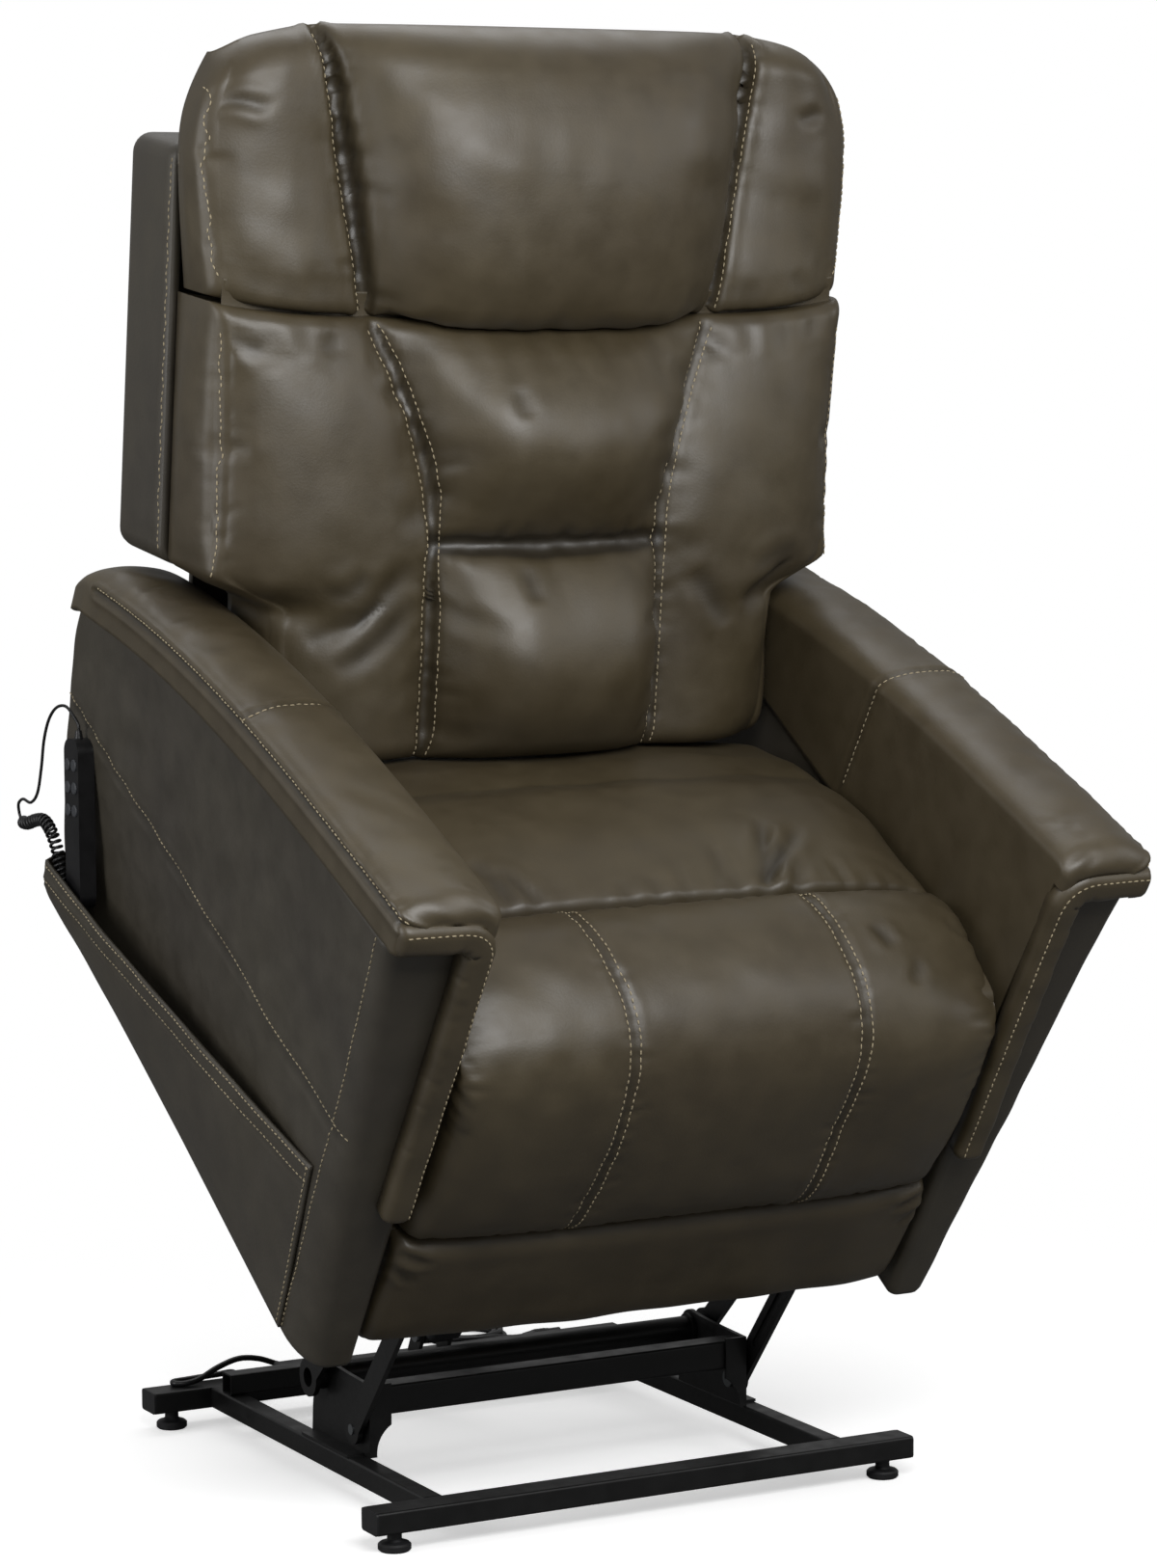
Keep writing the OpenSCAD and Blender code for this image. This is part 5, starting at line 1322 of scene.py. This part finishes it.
        def loop(w: float, z0: float, z1: float, r: float, y: float, rim: bool = False) -> None:
            """Adds a rounded rectangle; a rim's foot is cut away where the tongue passes."""
            r = max(r, 0.5)
            pts = []
            for k, (cx, cz) in enumerate(((w - r, z1 - r), (-w + r, z1 - r), (-w + r, z0 + r), (w - r, z0 + r))):
                start = math.radians(90 * k)
                pts += [(cx + r * math.cos(a + start), cz + r * math.sin(a + start)) for a in corner]
            out = []
            for k in range(len(pts)):
                a, b = np.array(pts[k]), np.array(pts[(k + 1) % len(pts)])
                if k == 3 * turn - 1:
                    out += [tuple(a)] + [(x * w / 400.0 if w < 380.0 else x, z0) for x in notch]
                elif k % turn == turn - 1:
                    out += [tuple(mix(a, b, t)) for t in np.arange(12) / 12.0]
                else:
                    out.append(tuple(a))
            ring = np.array([[x, y, z] for x, z in out])
            if rim:
                low = (np.abs(ring[:, 0]) < 310.0) & (ring[:, 2] < z0 + 1.0)
                ring[low, 1] = np.maximum(ring[low, 1], -12.0)
            rings.append(ring)

        for k in (0.02, 0.4, 0.75, 1.0):
            loop(388.0 * k, 232.0 - 220.0 * k, 232.0 + 220.0 * k, 10.0 * k, -12.0)
        loop(388.0, 12.0, 452.0, 10.0, -70.0, True)
        loop(388.0, 12.0, 452.0, 10.0, -125.0, True)
        for k, y in ((3.0, -127.0), (0.0, -124.5), (0.0, -100.0), (0.0, -70.0), (0.0, -40.0), (0.0, -18.0)):
            loop(400.0 - k, k, 464.0 - k, 22.0, y, True)
        for a in np.radians([20, 40, 60, 80, 90]):
            k = 14.0 * (1 - math.cos(a))
            loop(400.0 - k, k, 464.0 - k, 22.0, -14.0 + 14.0 * math.sin(a))
        for k in (0.86, 0.72, 0.55, 0.38, 0.2, 0.02):
            loop(386.0 * k, 232.0 - 218.0 * k, 232.0 + 218.0 * k, 22.0 * k, 1.5)
        rings = np.array(rings)
        form = Form("outer_back_cover", rings, rings[..., [0, 2]], Ends.FAN)
        self.shop.panel(form, leaning, "backrest", "outer_back_shell")
        for sign in (-1, 1):
            side = (np.abs(rings[..., 0] - sign * 400.0) < 1.0)[..., None]
            form.flat = np.where(side, rings[..., [1, 2]], FAR)
            self.shop.thread.sew("backrest", form, [[-118.0, 24.0], [-118.0, 440.0]])

    def tongue(self) -> None:
        """The outer back's lower end, between the arms."""
        laid = Layup()
        for x in columns(309.0, 40, 5.0):
            z = np.linspace(8.0, -164.0, 30)
            rear = np.stack([np.full(30, x), np.full(30, -0.6), z], -1)
            laid.lay(rear, rear * [1, 0, 1] + [0, -11.6, 0], rear[:, [0, 2]])
        form = laid.form("outer_back_tongue")
        self.shop.panel(form, leaning, "backrest")
        self.shop.thread.sew("backrest", form, [[-300.0, -154.0], [300.0, -154.0]])

    def build(self) -> None:
        """Makes the back."""
        self.cushion()
        self.tray()
        self.tongue()


@dataclass
class Head:
    """Headrest: a pillow that overhangs, between two wings, on its own hinge."""

    shop: Shop
    bottom: float = 292.5
    top: float = 602.0
    rear: float = -147.0
    wide: float = 392.0

    @property
    def tall(self) -> float:
        """Its height."""
        return self.top - self.bottom

    def half(self, t: float) -> float:
        """Half the width."""
        return self.wide + 14.0 * math.sin(math.pi * clamp(t / 1.3)) - 26.0 * t ** 6

    def pillow_half(self, t: Array) -> Array:
        """Half the pillow's width."""
        return 214.0 + 52.0 * np.asarray(t)

    def front(self, x: Array, t: float) -> Array:
        """Front face at places across."""
        s, w, wing = float(self.pillow_half(t)), self.half(t), -232.0 + 30.0 * t
        roll = float(edge_round(self.tall * t, 70.0)) * 0.72
        pillow = -250.0 - 86.0 * math.sin(math.pi * clamp(0.2 + 0.52 * t)) ** 0.9 * (1 - 0.75 * t ** 3) + roll
        k = clamp((np.abs(x) - s) / (w - s))
        return np.where(np.abs(x) < s, mix(pillow, wing + 4.0, (np.abs(x) / s) ** 4.2),
                        wing - 17.0 * np.sin(np.pi * k) ** 0.8 + 24.0 * k ** 4)

    def build(self) -> None:
        """Makes the headrest cushion."""
        laid = Layup()
        ts = np.unique(np.concatenate([0.10 * (np.arange(9) / 8.0) ** 1.8, np.linspace(0.1, 0.88, 58),
                                       1.0 - 0.12 * (1 - np.arange(12) / 11.0) ** 1.6]))
        for t in ts:
            w, r = self.half(t), 20.0
            end = float(edge_round(self.tall * t, 13.0) + edge_round(self.tall * (1 - t), 44.8))
            x = np.linspace(-(w - r), w - r, 141)
            y = np.minimum(self.front(x, t) + end, self.rear - 22.0)
            chain, flat_x = round_front(x, y, w, r, self.rear, 6)
            z = mix(self.bottom, self.top, t)
            u = np.abs(chain[:, 0]) / self.wide
            forward = clamp((-244.0 - chain[:, 1]) / 60.0) * clamp(1.0 - t / 0.55) ** 1.6
            rise = (z + 21.0 * u ** 4 * (1 - t) - (30.0 * u ** 4 + 26.0 * u ** 14) * t ** 3
                    - 37.0 * forward - 4.5 * (1 - t) ** 8)
            ring = np.stack([chain[:, 0], chain[:, 1], rise], -1)
            back = ring * [1, 0, 1] + np.stack([np.zeros(len(ring)), np.full(len(ring), self.rear),
                                                np.full(len(ring), -10.0 * t ** 8)], -1)
            laid.lay(ring, back, np.stack([flat_x, np.full(len(flat_x), z)], -1))
        form = laid.form("headrest_cover")
        live = form.face
        x, z = form.flat[..., 0], form.flat[..., 1]
        soft = live * clamp((z - 300) / 30) * clamp((596 - z) / 30) * clamp((385 - np.abs(x)) / 30)
        form.swell(soft * (2.4 * ripple(form.flat, 170.0, 240) + 1.0 * ripple(form.flat, 70.0, 241)))
        t = np.linspace(0.02, 0.97, 20)
        seams = [np.stack([k * self.pillow_half(t), mix(self.bottom, self.top, t)], -1) for k in (-1, 1)]
        form.inflate(seams, 10.0, 8.0)
        folds = [Fold(seam, 11.0, 7.0, 0.25, 0.0, 0.8) for seam in seams]
        folds += [Fold(((-380, 533), (-334, 512)), 3.6, 9.0, 0.35), Fold(((356, 522), (322, 506)), 2.6, 9.0, 0.35)]
        for k, seam in enumerate(seams):
            folds += gathers(seam, 15.0, 24.0, 3.0, 250 + k, (-1, 1), 4.4)
        folds += gathers(((-372.0, 300.0), (372.0, 300.0)), 44.0, 34.0, 3.4, 260, (1,), 8.0)
        form.press(folds, live)
        obj = form.build(leaning, self.shop.wardrobe.get("leather"))
        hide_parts("headrest_cushion")
        head_bend(obj)
        for k, seam in zip((-1, 1), seams):
            self.shop.thread.sew("headrest", form, seam, -k * 9.0)
        for side in (-1, 1):
            self.shop.thread.sew("headrest", form, [[side * 399.0, 318.0], [side * 402.0, 450.0],
                                                    [side * 397.0, 560.0]])


@dataclass
class Join:
    """The soft leather strip that bends between the back cushion and the headrest, in front of the hinges."""

    shop: Shop

    def build(self) -> None:
        """Makes the strip."""
        laid = Layup()
        for x in columns(380.0, 50, 6.0):
            u = abs(x) / 392.0
            z = np.linspace(262.0, 312.0, 22) + 19.0 * u ** 4
            dip = 3.0 * np.sin(np.pi * (z - z[0]) / 50.0)
            front = np.stack([np.full(22, x), -224.5 + dip, z], -1)
            laid.lay(front, front + [0.0, 1.6, 0.0], np.full((22, 2), FAR))
        form = laid.form("headrest_join")
        obj = form.build(leaning, self.shop.wardrobe.get("leather"))
        head_bend(obj)


# ---------- handset and cords ----------

@dataclass
class Leads:
    """The handset's lead with its curls, and the mains lead with its coil and connector."""

    shop: Shop
    curls: int = 24
    curl_steps: int = 16
    curl_radius: float = 6.2
    turns: int = 2

    def line(self, name: str, points: Array, radius: float, rings: int) -> bpy.types.Object:
        """A round cord along points, as one open curve."""
        data = bpy.data.curves.new(name, "CURVE")
        data.dimensions, data.bevel_depth, data.bevel_resolution, data.use_fill_caps = "3D", radius, rings, True
        spline = data.splines.new("POLY")
        spline.points.add(len(points) - 1)
        for spot, p in zip(spline.points, points):
            spot.co = (*p, 1.0)
        spline.use_smooth = True
        return link(name, data, self.shop.wardrobe.get("jacket"))

    def handset_path(self) -> Array:
        """Centreline of the handset lead, in millimetres: over the arm's side, through its curls, to the frame."""
        start = np.array([-425.4, 200.0, 830.5])
        lead = curved([start, start + [0, 0, 10], [-428, 208, 851], [-431, 224, 861], [-434, 245, 858],
                       [-436, 264, 843], [-437, 278, 818], [-437, 288, 785], [-438, 299, 755], [-439, 318, 742],
                       [-440, 340, 744], [-440, 355, 737], [-438, 358, 725]], 6)
        span = 26                                   # points from one corner of the guide to the next
        guide = curved([[-438, 358, 725], [-437, 352, 717], [-437, 335, 716], [-436, 310, 722], [-436, 285, 724],
                        [-436, 264, 714], [-434, 251, 694], [-433, 244, 674], [-430, 240, 656], [-426, 236, 640],
                        [-420, 228, 622], [-411, 214, 607], [-404, 205, 600], [-401.2, 202, 597.5]], span)
        total, first, last = self.curls * self.curl_steps, span, span * 8       # the curls' share of the guide
        at = np.linspace(first, last, total + 1)
        spine = np.stack([np.interp(at, np.arange(len(guide)), guide[:, k]) for k in range(3)], -1)
        way = unit(np.gradient(spine, axis=0))
        across = [unit(np.cross(way[0], [1, 0, 0]))]
        for t in way[1:]:
            across.append(unit(across[-1] - t * (across[-1] @ t)))
        across = np.array(across)
        i = np.arange(total + 1)
        r = self.curl_radius * clamp(np.minimum(i, total - i) / (self.curl_steps / 2))[:, None]
        a = (2 * np.pi * i / self.curl_steps)[:, None]
        helix = spine + r * (np.cos(a) * across + np.sin(a) * np.cross(way, across))
        return np.concatenate([lead, guide[4:first - 2:4], helix, guide[last + 6::6], guide[-1:]])

    def mains_path(self) -> Array:
        """Centreline of the mains lead, in millimetres: from the junction box, over the rail, to its coil."""
        start = np.array([-160.0, 225.5, 59.5])
        mid = np.array([200.0, 480.0, 3.6])

        def coil(i: float) -> Array:
            """A point of the coil, i steps of 15 degrees along: it winds in on the floor, then out on top of that."""
            k, a = abs(i - 24.0 * self.turns) / 24.0, math.radians(-90.0 + 15.0 * i)
            r = 36.5 + 8.0 * k
            return mid + [r * math.cos(a), r * math.sin(a), 8.0 * float(clamp((i - 24.0 * self.turns + 6) / 12))]

        wound = np.array([coil(i / 2.0) for i in range(4 * 24 * self.turns + 1)])
        inlet = wound[0] + [-7, 0, 0]
        run = curved([start, start + [0, 10, 0], [-168, 246, 60], [-190, 250, 68], [-216, 250, 71], [-244, 248, 64],
                      [-268, 245, 54], [-286, 244, 50.8], [-298, 249, 50.8], [-296, 259, 50.8], [-276, 262, 50.8],
                      [-240, 262, 52], [-216, 267, 51], [-203, 277, 38], [-190, 288, 20], [-170, 304, 7],
                      [-140, 324, 4], [-90, 350, 3.7], [-20, 376, 3.7], [60, 402, 3.7], [130, 422, 3.7],
                      [165, 427.5, 3.6], inlet], 5)
        tail = wound[-1] + np.array([[7, 0, 0], [14, 0, -0.1], [24, 0, -1.2], [34, 0, -3], [42, 0, -4],
                                     [50, 0, -4.2], [57, 0, -4.2]])
        return np.concatenate([run, wound, tail])

    def relief(self) -> None:
        """Tapered, ribbed sleeve where the mains lead leaves the junction box."""
        start = np.array([-160.0, 224.5, 59.5])
        a = np.radians(np.arange(0, 360, 20))
        rings = []
        for k in np.linspace(0.0, 1.0, 29):
            r = mix(6.6, 4.1, k) - (0.8 if 0.1 < k < 0.95 and int(k * 28) % 4 >= 2 else 0.0)
            rings.append(np.stack([start[0] + r * np.cos(a), np.full(len(a), start[1] + 9.0 * k),
                                   start[2] + r * np.sin(a)], -1))
        form = Form("mains_lead_sleeve", np.array(rings), np.full((29, len(a), 2), FAR), Ends.FAN)
        self.shop.hang(form.build(standing, self.shop.wardrobe.get("cap")), "base", Slot.CAP)

    def build(self) -> None:
        """Makes both cords."""
        path = standing(self.handset_path())
        lead = self.line("handset_cord", path, 0.0018, 3)
        self.shop.hang(lead, "chair", Slot.LEAD, "handset_lead", "handset_curls")
        LOG.info("handset cord: %.3f m", length_of(path))
        path = standing(self.mains_path())
        mains = self.line("mains_cord", path, 0.0035, 4)
        self.shop.hang(mains, "base", Slot.LEAD, "power_lead", "power_lead_coil")
        LOG.info("mains cord: %.3f m", length_of(path))
        self.relief()


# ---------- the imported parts, the studio and the camera ----------

def dress_nodes(shop: Shop) -> None:
    """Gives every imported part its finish, by its material slot."""
    finish = {Slot.PAINT: "paint", Slot.CAP: "cap", Slot.ZINC: "zinc", Slot.MOTOR: "motor", Slot.CHROME: "chrome",
              Slot.TIMBER: "timber", Slot.SKIN: "shaded_side_leather", Slot.PADDED: "leather", Slot.HANDSET: "handset",
              Slot.BUTTON: "button", Slot.LEAD: "jacket"}
    slots = {part["node"]: Slot(part["material_slot"]) for part in frame["record"]["subparts"]}
    covered = ("headrest_plate", "back_frame")      # boards seen in the gap behind the headrest: covered, not bare
    for name, obj in frame["nodes"].items():
        material = shop.wardrobe.get("shaded_side_leather" if name in covered else finish[slots[name]])
        for holder in obj.material_slots:
            holder.material = material
        if not obj.material_slots:
            obj.data.materials.append(material)


@dataclass(frozen=True)
class Lamp:
    """A softbox."""

    name: str
    at: tuple[float, float, float]
    toward: tuple[float, float, float]
    size: tuple[float, float]
    watts: float


class Studio:
    """White sweep, softboxes and camera."""

    eye = (-2.3423, -4.4190, 1.3261)
    turn, pitch, roll = -28.17, 6.19, -0.321        # degrees: from straight ahead, downwards, and about the lens
    lens = 103.82                                   # mm, on a 36 mm sensor
    near, far = 0.62, 1.5                           # m from the middle at which the shadow starts to fade and is gone
    daylight = 0.3
    floor_glow = 0.48
    lamps = (Lamp("key", (-0.45, -2.1, 2.05), (0.0, 0.25, 1.35), (2.0, 1.1), 51.0),
             Lamp("fill_left", (-3.3, 0.2, 1.5), (0.0, 0.2, 0.8), (1.6, 2.2), 40.0),
             Lamp("fill_right", (2.8, -2.2, 2.2), (0.0, 0.0, 0.9), (1.4, 1.4), 16.0),
             Lamp("top_rear", (0.3, 1.2, 3.4), (0.0, 0.0, 1.0), (2.4, 1.6), 27.0))

    def floor(self) -> bpy.types.Object:
        """Pale floor that keeps the shadow near the chair and is plain white to the camera further off."""
        mesh = bpy.data.meshes.new("floor")
        mesh.from_pydata([(-30, -30, 0), (30, -30, 0), (30, 30, 0), (-30, 30, 0)], [], [(0, 1, 2, 3)])
        material = bpy.data.materials.new("white_floor")
        material.use_nodes = True
        tree = material.node_tree
        tree.nodes.clear()
        where = add(tree, "ShaderNodeTexCoord").outputs["Object"]
        flatten = add(tree, "ShaderNodeVectorMath", {"operation": "MULTIPLY", 1: (1.0, 1.0, 0.0)}, {0: where})
        reach = add(tree, "ShaderNodeVectorMath", {"operation": "LENGTH"}, {0: flatten.outputs[0]}).outputs["Value"]
        far = add(tree, "ShaderNodeMapRange", {"interpolation_type": "SMOOTHSTEP", "From Min": self.near,
                                                   "From Max": self.far}, {"Value": reach}).outputs["Result"]
        seen = add(tree, "ShaderNodeLightPath").outputs["Is Camera Ray"]
        both = add(tree, "ShaderNodeMath", {"operation": "MULTIPLY"}, {0: far, 1: seen}).outputs[0]
        matt = add(tree, "ShaderNodeBsdfPrincipled", {"Base Color": (0.9, 0.9, 0.9, 1.0), "Roughness": 0.7,
                                                      "Specular IOR Level": 0.2})
        grain = add(tree, "ShaderNodeTexNoise", {"Scale": 40.0}, {"Vector": where}).outputs["Fac"]
        shade = add(tree, "ShaderNodeMapRange", {"To Min": 0.88, "To Max": 0.92}, {"Value": grain}).outputs["Result"]
        dim = add(tree, "ShaderNodeMix", {"data_type": "FLOAT", 2: 0.16}, {0: seen, 3: shade}).outputs[0]
        lit = add(tree, "ShaderNodeMath", {"operation": "MULTIPLY", 1: self.floor_glow}, {0: seen}).outputs[0]
        feed(matt, {"Base Color": dim, "Emission Strength": lit})
        matt.inputs["Emission Color"].default_value = (1.0, 1.0, 1.0, 1.0)
        glow = add(tree, "ShaderNodeEmission", {"Color": (1.0, 1.0, 1.0, 1.0), "Strength": 1.0})
        blend = add(tree, "ShaderNodeMixShader", {}, {0: both, 1: matt.outputs[0], 2: glow.outputs[0]})
        add(tree, "ShaderNodeOutputMaterial", {}, {"Surface": blend.outputs[0]})
        return link("floor", mesh, material)

    def world(self) -> None:
        """Even daylight, seen by the camera and by transmission rays as plain white."""
        world = bpy.data.worlds.new("studio")
        bpy.context.scene.world = world
        world.use_nodes = True
        tree = world.node_tree
        tree.nodes.clear()
        path = add(tree, "ShaderNodeLightPath")
        seen = add(tree, "ShaderNodeMath", {"operation": "MAXIMUM"}, {0: path.outputs["Is Camera Ray"],
                                                                      1: path.outputs["Is Transmission Ray"]})
        power = add(tree, "ShaderNodeMapRange", {"To Min": self.daylight, "To Max": 1.0}, {"Value": seen.outputs[0]})
        back = add(tree, "ShaderNodeBackground", {"Color": (1.0, 1.0, 1.0, 1.0)}, {"Strength": power.outputs["Result"]})
        add(tree, "ShaderNodeOutputWorld", {}, {"Surface": back.outputs[0]})

    def light(self, lamp: Lamp) -> None:
        """Adds a softbox."""
        data = bpy.data.lights.new(lamp.name, "AREA")
        data.shape, data.size, data.size_y, data.energy = "RECTANGLE", *lamp.size, lamp.watts
        obj = link(lamp.name, data)
        obj.location = lamp.at
        obj.rotation_euler = (Vector(lamp.toward) - Vector(lamp.at)).to_track_quat("-Z", "Y").to_euler()

    def camera(self) -> None:
        """A long lens from the chair's front right, a little above seat height."""
        az, pitch, roll = (math.radians(angle) for angle in (self.turn, self.pitch, self.roll))
        ahead = Vector((-math.sin(az) * math.cos(pitch), math.cos(az) * math.cos(pitch), -math.sin(pitch)))
        right = Vector((math.cos(az), math.sin(az), 0.0))
        up = right.cross(ahead)
        across, high = (math.cos(roll) * right + math.sin(roll) * up, math.cos(roll) * up - math.sin(roll) * right)
        data = bpy.data.cameras.new("camera")
        data.sensor_fit, data.sensor_width, data.sensor_height, data.lens = "AUTO", 36.0, 36.0, self.lens
        obj = link("camera", data)
        turn = Matrix((across, high, -ahead)).transposed().to_4x4()
        obj.matrix_world = Matrix.Translation(self.eye) @ turn
        bpy.context.scene.camera = obj

    def build(self) -> None:
        """Sets the studio up."""
        self.camera()
        self.world()
        for lamp in self.lamps:
            self.light(lamp)
        self.floor()
        bpy.context.scene.view_settings.view_transform = "Standard"


class Recliner:
    """The whole chair."""

    def __init__(self) -> None:
        """Gathers the sub-assemblies."""
        self.shop = Shop()
        self.arms = (Arm(-1, self.shop), Arm(1, self.shop))
        self.parts = (Leads(self.shop), *self.arms, Pocket(self.shop, self.arms[0]), Seat(self.shop),
                      Back(self.shop), Head(self.shop), Join(self.shop))

    def build(self) -> None:
        """Makes every piece, then its thread."""
        dress_nodes(self.shop)
        for part in self.parts:
            part.build()
        for group in self.shop.thread.rows:
            obj = self.shop.thread.finish(group)
            if group == "chaise":
                foot_bend(obj)
            elif group == "headrest":
                head_bend(obj)
            else:
                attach(obj, group)
            LOG.info("%s: %d faces", obj.name, len(obj.data.polygons))


def main() -> None:
    """Builds the studio and the chair."""
    Studio().build()
    Recliner().build()


if __name__ == "__main__":
    main()
